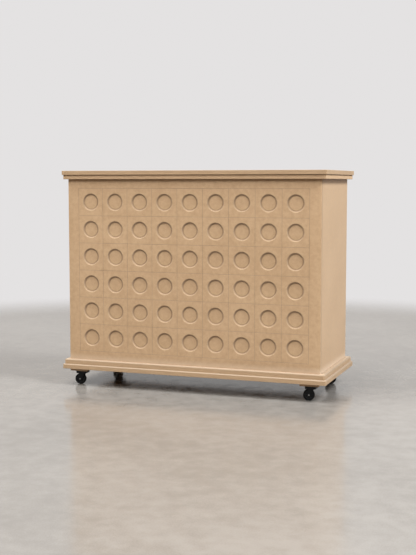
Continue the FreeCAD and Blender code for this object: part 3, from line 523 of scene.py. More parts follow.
def softwood(name, lengthwise, crossing=None, crossing_after=0.0):
    """Planed softwood: wavy growth lines and fine pores drawn out along the strip. Where strips of one
    node cross, those behind a line in Y run the other way."""
    colours = bpy.context.scene.cart_colours
    finish = Finish(name)

    def grain(axis, along, across):
        stretch = [across, across, across]
        stretch[axis] = along
        return finish.noise(finish.moved(tuple(stretch)), 1.0, 4.0, 0.55)

    growth = grain(lengthwise, *GROWTH_WAVES)
    pores = grain(lengthwise, *PORE_WAVES)
    if crossing is not None:
        behind = finish.work("GREATER_THAN", finish.part(finish.place, Y_AXIS), crossing_after)
        growth = finish.level(behind, growth, grain(crossing, *GROWTH_WAVES))
        pores = finish.level(behind, pores, grain(crossing, *PORE_WAVES))
    lines = finish.work("MULTIPLY_ADD", pores, 0.25, finish.work("MULTIPLY", growth, 0.75))
    finish.give(Base_Color=finish.blend(finish.span(lines, 0.38, 0.62), rgba(colours.softwood_light),
                                        rgba(colours.softwood_dark)),
                Roughness=finish.span(pores, 0.3, 0.7, 0.45, 0.62))
    finish.bump(lines, 0.2, 0.0004)
    return finish.material


def plated_steel(name, colour, smooth, rough):
    """Plated steel: cloudy tarnish and a fine drawn grain that changes its gloss."""
    finish = Finish(name)
    cloud = finish.noise(finish.place, 120.0, 4.0, 0.6)
    grain = finish.noise(finish.moved((900, 900, 3600)), 1.0, 3.0)
    finish.give(Base_Color=finish.blend(finish.span(cloud, 0.42, 0.72), rgba(colour), rgba(colour, 0.72)),
                Metallic=1.0, Roughness=finish.span(grain, 0.3, 0.7, smooth, rough))
    finish.bump(grain, 0.06, 0.0001)
    return finish.material


def black_coat(name):
    """Black powder coat: a fine orange-peel relief, with paler rubbed places."""
    colours = bpy.context.scene.cart_colours
    finish = Finish(name)
    peel = finish.noise(finish.place, 1500.0, 2.0)
    rubbed = finish.noise(finish.moved((240, 240, 700), (0.3, 0.1, 0.5)), 1.0, 5.0, 0.65)
    finish.give(Base_Color=finish.blend(finish.span(rubbed, 0.56, 0.74), rgba(colours.black_coat),
                                        rgba(colours.scuffed_coat)),
                Roughness=finish.span(rubbed, 0.35, 0.7, 0.34, 0.50), Specular_IOR_Level=0.22)
    finish.bump(peel, 0.10, 0.0002)
    return finish.material


def moulded_plastic(name):
    """Moulded nylon: a fine spark-eroded grain and faint flow marks."""
    colours = bpy.context.scene.cart_colours
    finish = Finish(name)
    grain = finish.noise(finish.place, 2600.0, 2.0)
    flow = finish.noise(finish.place, 160.0, 4.0, 0.6)
    finish.give(Base_Color=finish.blend(finish.span(flow, 0.4, 0.7), rgba(colours.wheel_plastic),
                                        rgba(colours.wheel_plastic, 1.9)),
                Roughness=finish.span(flow, 0.3, 0.7, 0.34, 0.48), Specular_IOR_Level=0.3)
    finish.bump(grain, 0.10, 0.0001)
    return finish.material


def solid_rubber(name):
    """Solid rubber: matt and finely pitted, with floor dust rubbed into the tread."""
    colours = bpy.context.scene.cart_colours
    finish = Finish(name)
    pits = finish.noise(finish.place, 1900.0, 3.0, 0.6)
    scuffs = finish.noise(finish.place, 260.0, 5.0, 0.68)
    dust = finish.work("MULTIPLY", finish.mark("tread"), finish.span(scuffs, 0.42, 0.68, 0.10, 0.75))
    finish.give(Base_Color=finish.blend(dust, rgba(colours.tyre_rubber), rgba(colours.tyre_dust)),
                Roughness=finish.span(scuffs, 0.3, 0.7, 0.58, 0.78), Specular_IOR_Level=0.25)
    finish.bump(pits, 0.15, 0.0002)
    return finish.material


# Front panel

PER_SIDE = 16
RIM_STEPS = 4

# Painted shade in a recess, from its floor outwards: inside of the ring, its middle, foot and top of the
# wall, rim
RING_SHADE = [0.0, 1.0, 0.9, 0.25, 0.0]


def square_ring(across, up):
    """Points round a square of half side 1, given steps along its level and upright sides."""
    level = np.linspace(-1, 1, across, endpoint=False)
    upright = np.linspace(-1, 1, up, endpoint=False)
    return np.concatenate([np.column_stack([level, np.full(across, -1.0)]),
                           np.column_stack([np.ones(up), upright]),
                           np.column_stack([-level, np.ones(across)]),
                           np.column_stack([np.full(up, -1.0), -upright])])


def recess_profile(sizes):
    """Radius and depth from the middle of a recess outwards: a flat floor, a sloping wall and a rounded
    rim. The third result is the painted shade at each point: most in a ring beside the foot of the wall,
    less up the wall, none on the floor and the face."""
    radius = sizes.recess_diameter / 2
    foot = radius - sizes.recess_bevel
    depth = sizes.recess_depth
    peak = foot - sizes.shade_ring_width
    inner = peak - sizes.shade_ring_width
    profile = rounded([(0, depth, 0), (inner, depth, 0), (peak, depth, 0), (foot, depth, sizes.recess_foot),
                       (radius, 0, sizes.recess_rim), (radius + 2 * sizes.recess_rim, 0, 0)], RIM_STEPS)
    reach = [inner, peak, foot, radius - sizes.recess_rim, radius]
    return profile[:, 0], profile[:, 1], np.interp(profile[:, 0], reach, RING_SHADE)


def standing(rings, depths):
    """Flat rings stood up in the panel's plane: across is X, up is Z and depth is Y."""
    depth = np.broadcast_to(depths[:, None], rings.shape[:2])
    return np.stack([rings[..., 0], depth, rings[..., 1]], axis=-1)


def panel_cells(sizes, grid_half):
    """All cells of the panel. In a cell, rings run from the recess to the score line: circles of the
    recess profile, then a ring half way to the square, the edge of the score and its bottom on the cell's
    border. The second result marks the bottom of the score, where shade is painted, the third the painted
    shade in the recess."""
    cell_half = grid_half / (sizes.columns, sizes.rows)
    border = square_ring(PER_SIDE, PER_SIDE)
    angle = np.arctan2(border[:, 1] * cell_half[1], border[:, 0] * cell_half[0])
    circle = np.column_stack([np.cos(angle), np.sin(angle)])
    radii, depths, ring_shade = recess_profile(sizes)
    rim = circle * radii[-1]
    score_edge = border * (cell_half - sizes.score_width / 2)
    rings = np.concatenate([circle * radii[:, None, None],
                            np.stack([(rim + score_edge) / 2, score_edge, border * cell_half])])
    cell = standing(rings, np.concatenate([depths, [0.0, 0.0, sizes.score_depth]]))
    column, row = np.meshgrid(np.arange(sizes.columns), np.arange(sizes.rows))
    centres = (np.column_stack([column.ravel(), row.ravel()]) * 2 + 1) * cell_half - grid_half
    places = np.column_stack([centres[:, 0], np.zeros(len(centres)), centres[:, 1]])
    scored = np.zeros((len(places), *cell.shape[:2]))
    scored[:, -1] = 1.0
    burnished = np.zeros(scored.shape)
    burnished[:, :len(ring_shade)] = ring_shade[:, None]
    return repeat(surface(cell, wrap_columns=True), places), scored.ravel(), burnished.ravel()


def panel_border(sizes, grid_half, panel_half, thickness):
    """The margin round the grid and the board's edges and back: square rings from the outer score line
    over the rounded arris to the back, closed in the middle of the back. The second result marks the
    bottom of the score, where shade is painted."""
    outline = square_ring(sizes.columns * PER_SIDE, sizes.rows * PER_SIDE)
    bend = np.linspace(0, QUARTER_TURN, RIM_STEPS)
    insets = sizes.edge_ease * (1 - np.sin(bend))
    front = sizes.edge_ease * (1 - np.cos(bend))
    halves = np.concatenate([[grid_half, grid_half + sizes.score_width / 2], panel_half - insets[:, None],
                             panel_half - insets[::-1, None], [np.zeros(2)]])
    depths = np.concatenate([[sizes.score_depth, 0.0], front, thickness - front[::-1], [thickness]])
    grid = standing(outline * halves[:, None, :], depths)
    scored = np.zeros(grid.shape[:2])
    scored[0] = 1.0
    return surface(grid, wrap_columns=True), scored.ravel()


def make_panel(sizes):
    """The front panel's surface in place, and at each point how far a cutter has opened it, and how much
    shade is painted on it in a scored line and in a recess."""
    low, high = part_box("front_panel")
    panel_half = np.array([high.x - low.x, high.z - low.z]) / 2
    grid_half = panel_half - (sizes.grid_side_margin, sizes.grid_end_margin)
    cells, cells_scored, cells_ring_shade = panel_cells(sizes, grid_half)
    border, border_scored = panel_border(sizes, grid_half, panel_half, high.y - low.y)
    points, quads = join([cells, border])
    depth = points[:, 1]
    milled = np.clip(depth / sizes.recess_rim, 0, 1) * (depth <= sizes.recess_depth + WELD)
    middle = ((low.x + high.x) / 2, low.y, (low.z + high.z) / 2)
    marks = {"milled": milled, "scored": np.concatenate([cells_scored, border_scored]),
             "burnished": np.concatenate([cells_ring_shade, np.zeros(len(border_scored))])}
    return (points + middle, quads), marks


# Screws

SCREW_SIDES = 28
HEAD_RINGS = np.array([0.0, 0.10, 0.20, 0.30, 0.42, 0.54, 0.66, 0.80, 0.92, 1.0])

# Cross in a screw head, as shares of the head's radius and height, and the shares that slope
ARM_WIDTH = 0.20
ARM_LENGTH = 0.62
ARM_DEPTH = 0.55
ARM_SIDE_SLOPE = 0.50
ARM_END_SLOPE = 0.45


def screw_places(node, head_side):
    """Middles of the screws of a node and their overall length: the node's points fall into clumps that
    are further apart than any head is wide."""
    mesh = frame["nodes"][node].data
    points = np.zeros(len(mesh.vertices) * 3, np.float32)
    mesh.vertices.foreach_get("co", points)
    points = points.reshape(-1, 3)
    gap = bpy.context.scene.cart_sizes.screw_head

    def clumps(values):
        order = np.argsort(values)
        steps = np.diff(values[order], prepend=values[order[0]])
        labels = np.empty(len(values), int)
        labels[order] = np.cumsum(steps > gap)
        return labels

    columns = clumps(points[:, 0])
    groups = []
    for column in range(columns.max() + 1):
        strip = points[columns == column]
        rows = clumps(strip[:, 1])
        groups += [strip[rows == row] for row in range(rows.max() + 1)]
    middles = np.array([(group.min(axis=0) + group.max(axis=0)) / 2 for group in groups])
    face = points[:, 2].min() if head_side < 0 else points[:, 2].max()
    middles[:, 2] = face - head_side * bpy.context.scene.cart_sizes.screw_head_height
    return middles, float(points[:, 2].max() - points[:, 2].min())


def screw_shape(sizes, head_side, overall):
    """A round-head screw: rings from the top of the head, an ellipse in section, down the shank to the
    point; the head is lowered by a cross whose arms fade out along their length and drop steeply at their
    sides."""
    head = sizes.screw_head / 2
    height = sizes.screw_head_height
    shank = sizes.screw_shank / 2
    tip = overall - height
    radii = np.concatenate([HEAD_RINGS * head, [shank, shank, 0.0]])
    heights = np.concatenate([height * np.sqrt(1 - HEAD_RINGS ** 2), [0.0, shank - tip, -tip]])
    grid = radii[:, None, None] * spokes(SCREW_SIDES, UP, RIGHT)
    across, along = np.abs(grid[..., 0]), np.abs(grid[..., 1])
    arm_width = ARM_WIDTH * head
    arm_length = ARM_LENGTH * head

    def arm(side, run):
        beside = np.clip((arm_width - side) / (ARM_SIDE_SLOPE * arm_width), 0, 1)
        return beside * np.clip((arm_length - run) / (ARM_END_SLOPE * arm_length), 0, 1)

    on_head = (np.arange(len(radii)) < len(HEAD_RINGS))[:, None]
    cross = np.maximum(arm(across, along), arm(along, across)) * on_head
    grid[..., 2] = head_side * (heights[:, None] - ARM_DEPTH * height * cross)
    return surface(grid, wrap_columns=True)


# Casters

TURN_STEPS = 72
PLATE_ARC = 6
RACE_STEPS = 9
EYE_STEPS = 14
LEG_STEPS = 7
GAP_STEPS = 7
TYRE_STEPS = 6
CHAMFER_STEPS = 4

# Kingpin: punch mark in its head, flare at its top and room under the crown
KINGPIN_PUNCH_FLOOR = 1.2 * MM
KINGPIN_PUNCH_MOUTH = 2.2 * MM
KINGPIN_PUNCH_DEPTH = 0.9 * MM
KINGPIN_FLARE = 1.4 * MM
KINGPIN_GAP = 0.15 * MM

# Fork: height of the balls over the crown, where the round end of a leg runs, and its run under the crown
BALL_RISE = 1.25 * MM
EYE_START = math.radians(14)
EYE_STOP = math.radians(125)
LEG_TONGUE = 2.5 * MM
ROLLED_EDGE = 0.5 * MM
ROLLED_ABOVE = math.radians(50)

# Wheel: draft of moulded walls, foot of a rib, groove in the tyre's walls, parting line of its tread
DRAFT = 0.3 * MM
RIB_FOOT = 0.5 * MM
GROOVE = 0.35 * MM
GROOVE_SHARE = 0.32
PARTING_WIDTH = 0.35 * MM
PARTING_DEPTH = 0.2 * MM

# Axle: punched middle and dome of its head, chamfer of its end, and the nut's chamfer as a share of the flat
PUNCH_MIDDLE = 0.5 * MM
PUNCH_FLOOR = 0.8 * MM
PUNCH_DEPTH = 0.4 * MM
PUNCH_MOUTH = 1.3 * MM
DOME_RADIUS = 3.0 * MM
DOME_DROP = 0.1 * MM
DOME_EDGE = 1.2 * MM
END_CHAMFER = 0.5 * MM
NUT_CHAMFER = 0.94


def caster_axes(corner):
    """Pivot, axle middle, the way the fork points, the axle's direction and up, from the caster's two
    joints."""
    swivel = JOINTS[f"{corner}_swivel_turn"]
    roll = JOINTS[f"{corner}_wheel_roll"]
    up = np.array(swivel["axis"], float)
    across = np.array(roll["axis"], float)
    along = np.cross(across, up)
    return np.array(swivel["pos_m"]), np.array(roll["pos_m"]), along, across, up


def plate_shape(corner, sizes):
    """A pressed plate: outlines of a square with rounded corners, from the middle of the underside down
    the inside of the rim, round its lower edge, up its outside, over the bend and back to the middle of
    the top."""
    low, high = (np.array(corner_point) for corner_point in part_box(f"{corner}_plate"))
    half = (high - low)[0] / 2
    height = (high - low)[2]
    ceiling = height - sizes.plate_thickness
    wall = sizes.plate_rim
    section = rounded([(half, ceiling, 0), (wall, ceiling, wall / 2), (wall, 0, sizes.plate_ease),
                       (0, 0, sizes.plate_ease), (0, height, sizes.plate_bend), (half, height, 0)],
                      RIM_STEPS)
    section = section[RIM_STEPS:-RIM_STEPS]
    signs = np.array([[-1, -1], [1, -1], [1, 1], [-1, 1]])
    outlines = []
    for inset in section[:, 0]:
        reach = np.full(len(signs), sizes.plate_corner - inset)
        outlines.append(rounded(np.column_stack([signs * (half - inset), reach]), PLATE_ARC))
    rings = np.stack([np.zeros_like(outlines[0]), *outlines, np.zeros_like(outlines[0])])
    levels = np.concatenate([[ceiling], section[:, 1], [height]])
    grid = np.concatenate([rings, np.broadcast_to(levels[:, None, None], (*rings.shape[:2], 1))], axis=-1)
    middle = np.append((low + high)[:2] / 2, low[2])
    return surface(grid + middle, wrap_columns=True)


def kingpin_shape(corner, sizes):
    """A turned rivet: a rounded flat head with a punch mark, the pin, and a flared top flush in the
    plate."""
    pivot, _, along, _, up = caster_axes(corner)
    low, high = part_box(f"{corner}_kingpin")
    radius = sizes.kingpin_radius
    head = sizes.kingpin_head
    shoulder = sizes.crown_height - KINGPIN_GAP
    punch = low.z + KINGPIN_PUNCH_DEPTH
    profile = rounded([(0, punch, 0), (KINGPIN_PUNCH_FLOOR, punch, 0.4 * MM),
                       (KINGPIN_PUNCH_MOUTH, low.z, 0.5 * MM), (head, low.z, 0.9 * MM),
                       (head, shoulder, 0.3 * MM), (radius, shoulder, 0),
                       (radius, high.z - KINGPIN_FLARE, 0), (radius + KINGPIN_FLARE, high.z, 0),
                       (0, high.z, 0)])
    return turned(profile, np.append(pivot[:2], 0.0), up, along, TURN_STEPS)


def crown_shape(corner, sizes):
    """The fork's crown: a disc with a ball race turned into its top and a skirt standing round its
    rim."""
    pivot, _, along, _, up = caster_axes(corner)
    bore = sizes.kingpin_radius + sizes.axle_play
    rim = sizes.crown_radius
    inside = rim - sizes.skirt_wall
    bottom = sizes.crown_height
    top = bottom + sizes.crown_thickness
    ball = sizes.ball_diameter / 2
    dip = math.asin(BALL_RISE / ball)
    race = arc((sizes.race_radius, top + BALL_RISE), ball, -dip, dip - math.pi, RACE_STEPS)
    outer = rounded([(bore, bottom, 0.2 * MM), (rim, bottom, 1.3 * MM), (rim, sizes.skirt_height, 0.6 * MM),
                     (inside, sizes.skirt_height, 0.5 * MM), (inside, top, 0.4 * MM), (bore, top, 0.2 * MM)],
                    RIM_STEPS)
    profile = np.concatenate([outer[:-RIM_STEPS], race, outer[-RIM_STEPS:]])
    return turned(profile, np.append(pivot[:2], 0.0), up, along, TURN_STEPS, closed=True)


def leg_edges(height, sizes, trail, top):
    """Back and front edge of a leg at each height over the axle: lines from the crown that touch the
    round eye, and below those points the eye's circle, x^2 + z^2 = r^2."""
    eye = sizes.leg_eye
    edges = []
    for side in (-1, 1):
        corner = np.array([trail + side * sizes.leg_top_width / 2, top])
        reach = np.linalg.norm(corner)
        touch_angle = math.atan2(corner[1], corner[0]) - side * math.acos(eye / reach)
        touch = eye * np.array([math.cos(touch_angle), math.sin(touch_angle)])
        line = touch[0] + (height - touch[1]) * (corner[0] - touch[0]) / (corner[1] - touch[1])
        circle = side * np.sqrt(np.maximum(eye ** 2 - height ** 2, 0))
        edges.append(np.where(height > touch[1], line, circle))
    return edges


def legs_shape(corner, sizes):
    """Both legs of a fork as bent strips: a path runs from under the axle up the leg and bends in below
    the crown; at every step the strip spans the leg's back and front edges."""
    pivot, axle, along, across, up = caster_axes(corner)
    trail = float((pivot - axle) @ along)
    top = sizes.crown_height - axle[2]
    bend = sizes.leg_bend
    end = top + sizes.crown_thickness / 2
    lower = -sizes.leg_eye * np.cos(np.linspace(EYE_START, EYE_STOP, EYE_STEPS))
    straight = np.linspace(lower[-1], end - bend, LEG_STEPS)[1:]
    turn = np.linspace(0, QUARTER_TURN, LEG_STEPS)[1:]
    height = np.concatenate([lower, straight, end - bend + bend * np.sin(turn), [end]])
    side = sizes.leg_outer - sizes.leg_thickness / 2
    upright = np.zeros(len(lower) + len(straight))
    inwards = np.concatenate([upright, bend * (1 - np.cos(turn)), [bend + LEG_TONGUE]])
    back, front = leg_edges(np.minimum(height, top), sizes, trail, top)
    run = back[:, None] + (front - back)[:, None] * np.linspace(0, 1, LEG_STEPS)
    strips = []
    for sign in (-1, 1):
        offset = sign * (side - inwards)
        grid = axle + run[..., None] * along + offset[:, None, None] * across + height[:, None, None] * up
        strips.append(surface(grid))
    return join(strips)


def core_shape(corner, sizes):
    """A moulded wheel core: face rings from the bore over hub, web and rim. Columns round the wheel
    follow the ribs, so their sides are straight: angle = offset / radius beside a rib and even steps
    between ribs; the face is the higher of the turned profile and the rib. The other face is its mirror
    image."""
    _, axle, along, across, up = caster_axes(corner)
    bore = sizes.axle_radius + sizes.axle_play
    rim_outer = sizes.wheel_radius - sizes.tyre_thickness
    rim_inner = rim_outer - sizes.rim_thickness
    profile = rounded([(bore, sizes.hub_face, 0.3 * MM), (sizes.hub_radius, sizes.hub_face, 0.7 * MM),
                       (sizes.hub_radius + DRAFT, sizes.web_face, 1.0 * MM),
                       (rim_inner - DRAFT, sizes.web_face, 1.0 * MM), (rim_inner, sizes.rim_face, 0.5 * MM),
                       (rim_outer, sizes.rim_face, 0.4 * MM), (rim_outer, 0.0, 0)], RIM_STEPS)
    profile = profile[RIM_STEPS:-RIM_STEPS]
    half_rib = sizes.rib_width / 2
    foot = half_rib + RIB_FOOT
    rib_offset = np.array([-foot, -half_rib, half_rib, foot])
    rib_top = np.array([0.0, 1.0, 1.0, 0.0]) * sizes.rib_face
    between = np.linspace(0, 1, GAP_STEPS)[1:-1]
    sector = 2 * math.pi / sizes.rib_count
    radius = np.maximum(profile[:, :1], sizes.hub_radius)
    beside = rib_offset / radius
    gap = foot / radius + (sector - 2 * foot / radius) * between
    one = np.concatenate([beside, gap], axis=1)
    angle = (np.arange(sizes.rib_count)[None, :, None] * sector + one[:, None, :]).reshape(len(profile), -1)
    rib = np.tile(np.concatenate([rib_top, np.zeros(len(between))]), sizes.rib_count)
    in_web = (profile[:, :1] > sizes.hub_radius - WELD) & (profile[:, :1] < rim_inner + WELD)
    face = np.maximum(profile[:, 1:], np.where(in_web, rib, 0.0))
    angle = np.concatenate([angle, angle[::-1]])
    face = np.concatenate([face, -face[::-1]])
    radius = np.concatenate([profile[:, :1], profile[::-1, :1]])
    spoke = np.cos(angle)[..., None] * along + np.sin(angle)[..., None] * up
    grid = axle + radius[..., None] * spoke + face[..., None] * across
    return surface(grid, wrap_rows=True, wrap_columns=True)


def tyre_shape(corner, sizes):
    """A solid tyre: a closed section with rounded shoulders, a moulded ring groove in each wall and a
    parting line round the tread, carried round the axle. The second result is how far each point is out
    on the tread."""
    _, axle, along, across, _ = caster_axes(corner)
    outer = sizes.wheel_radius
    inner = outer - sizes.tyre_thickness
    half = sizes.tyre_width / 2
    ring = inner + GROOVE_SHARE * sizes.tyre_thickness
    wall = [(inner, half, 0.5 * MM), (ring - GROOVE, half, 0.2 * MM), (ring, half - GROOVE, 0.2 * MM),
            (ring + GROOVE, half, 0.2 * MM), (outer, half, sizes.tyre_shoulder)]
    mirrored = [(radius, -offset, reach) for radius, offset, reach in reversed(wall)]
    parting = [(outer, PARTING_WIDTH, 0.1 * MM), (outer - PARTING_DEPTH, 0.0, 0.1 * MM),
               (outer, -PARTING_WIDTH, 0.1 * MM)]
    profile = rounded(wall + parting + mirrored, TYRE_STEPS)
    half_shoulder = sizes.tyre_shoulder / 2
    tread = np.clip((profile[:, 0] - outer + half_shoulder) / half_shoulder, 0, 1)
    shape = turned(profile, axle, across, along, TURN_STEPS, closed=True)
    return shape, np.repeat(tread, TURN_STEPS)


def axle_shape(corner, sizes):
    """The axle bolt: a domed head with a punched middle outside one leg, a plain shank and a chamfered
    end."""
    _, axle, along, across, _ = caster_axes(corner)
    leg = sizes.leg_outer
    head = sizes.axle_head
    radius = sizes.axle_radius
    face = -leg - sizes.axle_head_height
    end = leg + sizes.nut_height
    profile = rounded([(0, face + PUNCH_MIDDLE, 0), (PUNCH_FLOOR, face + PUNCH_DEPTH, 0.2 * MM),
                       (PUNCH_MOUTH, face, 0.3 * MM), (DOME_RADIUS, face + DOME_DROP, 0.6 * MM),
                       (head, face + DOME_EDGE, 0.8 * MM), (head, -leg, 0.1 * MM), (radius, -leg, 0),
                       (radius, end - END_CHAMFER, 0.1 * MM), (radius - END_CHAMFER, end, 0.1 * MM),
                       (0, end, 0)])
    return turned(profile, axle, across, along, TURN_STEPS)


def nut_shape(corner, sizes):
    """A hexagon nut: at each level the radius is the smaller of the hexagon, flat / cos(a), and a chamfer
    cone of 30 degrees."""
    _, axle, along, across, _ = caster_axes(corner)
    start = sizes.leg_outer
    end = start + sizes.nut_height
    slope = math.sqrt(3)
    angle = np.linspace(0, 2 * math.pi, TURN_STEPS, endpoint=False)
    hexagon = sizes.nut_flat / np.cos(np.mod(angle, math.pi / 3) - math.pi / 6)
    corner_radius = sizes.nut_flat / math.cos(math.pi / 6)
    land = NUT_CHAMFER * sizes.nut_flat
    drop = np.linspace(0, (corner_radius - land) / slope, CHAMFER_STEPS)
    cone = land + drop * slope
    bore = np.full(TURN_STEPS, sizes.axle_radius + sizes.axle_play)
    rings = np.stack([bore, *np.minimum(hexagon, cone[:, None]), hexagon, bore])
    levels = np.concatenate([[end], end - drop, [start], [start]])
    grid = axle + rings[..., None] * spokes(TURN_STEPS, across, along) + levels[:, None, None] * across
    return surface(grid, wrap_rows=True, wrap_columns=True)


# Stage

FLOOR_RINGS = 7
FLOOR_SIDES = 96
FADE_END = 0.75
SENSOR = 36.0


def floor_finish(studio):
    """Pale sealed floor: broad clouds, small patches and fine grit under a soft gloss; it fades out with
    distance from the middle, and is clear from below."""
    finish = Finish("studio_floor")
    cloud = finish.noise(finish.place, 1.3, 4.0, 0.6)
    patch = finish.noise(finish.place, 14.0, 5.0, 0.62)
    grit = finish.noise(finish.place, 210.0, 3.0, 0.6)
    tone = finish.work("MULTIPLY_ADD", cloud, 0.35,
                       finish.work("MULTIPLY_ADD", patch, 0.35, finish.work("MULTIPLY", grit, 0.30)))
    finish.give(Base_Color=finish.blend(finish.span(tone, 0.38, 0.62), rgba(studio.floor_dark),
                                        rgba(studio.floor_light)),
                Roughness=finish.span(patch, 0.3, 0.7, 0.10, 0.20), Specular_IOR_Level=0.7)
    finish.bump(patch, 0.03, 0.002)
    distance = finish.add("ShaderNodeVectorMath", {0: finish.place}, operation="LENGTH").outputs["Value"]
    shown = finish.span(distance, studio.floor_fade, studio.floor_reach * FADE_END, 1.0, 0.0)
    above = finish.work("SUBTRACT", 1.0, finish.add("ShaderNodeNewGeometry").outputs["Backfacing"])
    clear = finish.add("ShaderNodeBsdfTransparent")
    mix = finish.add("ShaderNodeMixShader", {0: finish.work("MULTIPLY", shown, above), 1: clear.outputs[0],
                                             2: finish.shader.outputs[0]})
    finish.feed(finish.tree.nodes["Material Output"].inputs["Surface"], mix.outputs[0])
    return finish.material


def lay_floor(studio):
    """A round floor: rings whose radius grows with the square of their number."""
    radii = studio.floor_reach * np.linspace(0, 1, FLOOR_RINGS) ** 2
    profile = np.column_stack([radii, np.zeros(len(radii))])
    mesh = make_mesh("studio_floor", turned(profile, np.zeros(3), UP, RIGHT, FLOOR_SIDES))
    mesh.materials.append(floor_finish(studio))
    floor = bpy.data.objects.new("studio_floor", mesh)
    bpy.context.scene.collection.objects.link(floor)


def make_room(studio):
    """A plain room: the camera sees the backdrop, glossy surfaces the mirrored room, the rest its warm
    light."""
    world = bpy.data.worlds.new("studio_room")
    world.use_nodes = True
    tree = world.node_tree
    rays = tree.nodes.new("ShaderNodeLightPath")
    mirrored = tree.nodes.new("ShaderNodeMix")
    mirrored.data_type = "RGBA"
    mirrored.inputs[6].default_value = rgba(studio.room_light)
    mirrored.inputs[7].default_value = rgba(studio.room_mirrored)
    colour = tree.nodes.new("ShaderNodeMix")
    colour.data_type = "RGBA"
    colour.inputs[7].default_value = rgba(studio.backdrop)
    tree.links.new(rays.outputs["Is Glossy Ray"], mirrored.inputs[0])
    tree.links.new(rays.outputs["Is Camera Ray"], colour.inputs[0])
    tree.links.new(mirrored.outputs[2], colour.inputs[6])
    tree.links.new(colour.outputs[2], tree.nodes["Background"].inputs["Color"])
    bpy.context.scene.world = world


def add_light(name, power, colour, place, aim, size):
    """A square soft light at a place, turned to a point. Glossy surfaces show the plain room instead of
    it."""
    data = bpy.data.lights.new(name, "AREA")
    data.size = size
    data.energy = power
    data.color = colour
    light = bpy.data.objects.new(name, data)
    light.location = place
    light.rotation_mode = "QUATERNION"
    light.rotation_quaternion = (Vector(aim) - Vector(place)).to_track_quat("-Z", "Y")
    light.visible_glossy = False
    bpy.context.scene.collection.objects.link(light)


def set_lights(studio):
    """Five soft lights: two from the front left, two at the right and one behind."""
    add_light("overhead", studio.overhead_power, studio.plain_white,
              place=(-5.0, -8.5, 8.5), aim=(0.0, -0.2, 0.5), size=7.0)
    add_light("ceiling", studio.ceiling_power, studio.ceiling_colour,
              place=(-2.6, -3.4, 7.6), aim=(0.0, -0.2, 0.5), size=8.0)
    add_light("key", studio.key_power, studio.key_colour,
              place=(5.8, -1.25, 6.7), aim=(0.2, 0.0, 0.6), size=2.4)
    add_light("side", studio.side_power, studio.key_colour,
              place=(6.3, -3.0, 4.0), aim=(0.2, -0.2, 0.55), size=2.5)
    add_light("rear", studio.rear_power, studio.plain_white,
              place=(-1.5, 6.5, 4.5), aim=(0.0, 0.2, 0.5), size=5.0)


def set_camera(studio):
    """A camera turned by a yaw and tilted by a pitch, without roll, and with everything in focus."""
    data = bpy.data.cameras.new("camera")
    data.sensor_width = SENSOR
    data.lens = studio.camera_lens
    data.dof.use_dof = False
    camera = bpy.data.objects.new("camera", data)
    camera.location = studio.camera_place
    yaw = studio.camera_yaw
    pitch = studio.camera_pitch
    forward = Vector((math.sin(yaw) * math.cos(pitch), math.cos(yaw) * math.cos(pitch), -math.sin(pitch)))
    camera.rotation_mode = "QUATERNION"
    camera.rotation_quaternion = forward.to_track_quat("-Z", "Y")
    bpy.context.scene.collection.objects.link(camera)
    bpy.context.scene.camera = camera


# Operators

class CartOperator:
    """What every step shares."""

    bl_options = {"REGISTER", "UNDO"}


class DISPLAY_CART_OT_dress_boards(CartOperator, bpy.types.Operator):
    """Gives worktop, plinth, sides, shelves and pads their raw fibreboard finish"""

    bl_idname = "display_cart.dress_boards"
    bl_label = "Dress Boards"

    def execute(self, context):
        for seed, (node, axis) in enumerate(BOARDS.items(), start=1):
            finish = fibreboard(f"fibreboard_{node}", node, axis, seed, PAINTED_EDGE_LIGHT.get(node, 1.0))
            dress(node, finish)
        return {"FINISHED"}


class DISPLAY_CART_OT_make_front_panel(CartOperator, bpy.types.Operator):
    """Makes the scored front panel with its dished recesses"""

    bl_idname = "display_cart.make_front_panel"
    bl_label = "Make Front Panel"

    def execute(self, context):
        shape, marks = make_panel(context.scene.cart_sizes)
        finish = fibreboard("fibreboard_recessed_front", "front_panel", Y_AXIS, PANEL_SEED, milled=True)
        add_piece("recessed_front", shape, finish, "cart", "fibreboard", "front_panel", marks=marks)
        return {"FINISHED"}


class DISPLAY_CART_OT_dress_battens(CartOperator, bpy.types.Operator):
    """Gives the joining strips their softwood and the shelf pins their nickel"""

    bl_idname = "display_cart.dress_battens"
    bl_label = "Dress Battens and Pins"

    def execute(self, context):
        for node in ("worktop_battens", "floor_battens"):
            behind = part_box(node)[0].y + context.scene.cart_sizes.batten
            dress(node, softwood(f"softwood_{node}", X_AXIS, Y_AXIS, behind))
        dress("corner_battens", softwood("softwood_corner_battens", Z_AXIS))
        nickel = context.scene.cart_colours.nickel
        dress("shelf_pins", plated_steel("nickel_pins", nickel, smooth=0.22, rough=0.38))
        return {"FINISHED"}


class DISPLAY_CART_OT_make_screws(CartOperator, bpy.types.Operator):
    """Makes the round-head screws with their cross recesses"""

    bl_idname = "display_cart.make_screws"
    bl_label = "Make Screws"

    def execute(self, context):
        sizes = context.scene.cart_sizes
        finish = plated_steel("zinc_screws", context.scene.cart_colours.zinc, smooth=0.26, rough=0.44)
        for node, head_side in SCREWS.items():
            places, overall = screw_places(node, head_side)
            shape = repeat(screw_shape(sizes, head_side, overall), places)
            add_piece(f"round_head_{node}", shape, finish, "cart", "screw_steel", node)
        return {"FINISHED"}


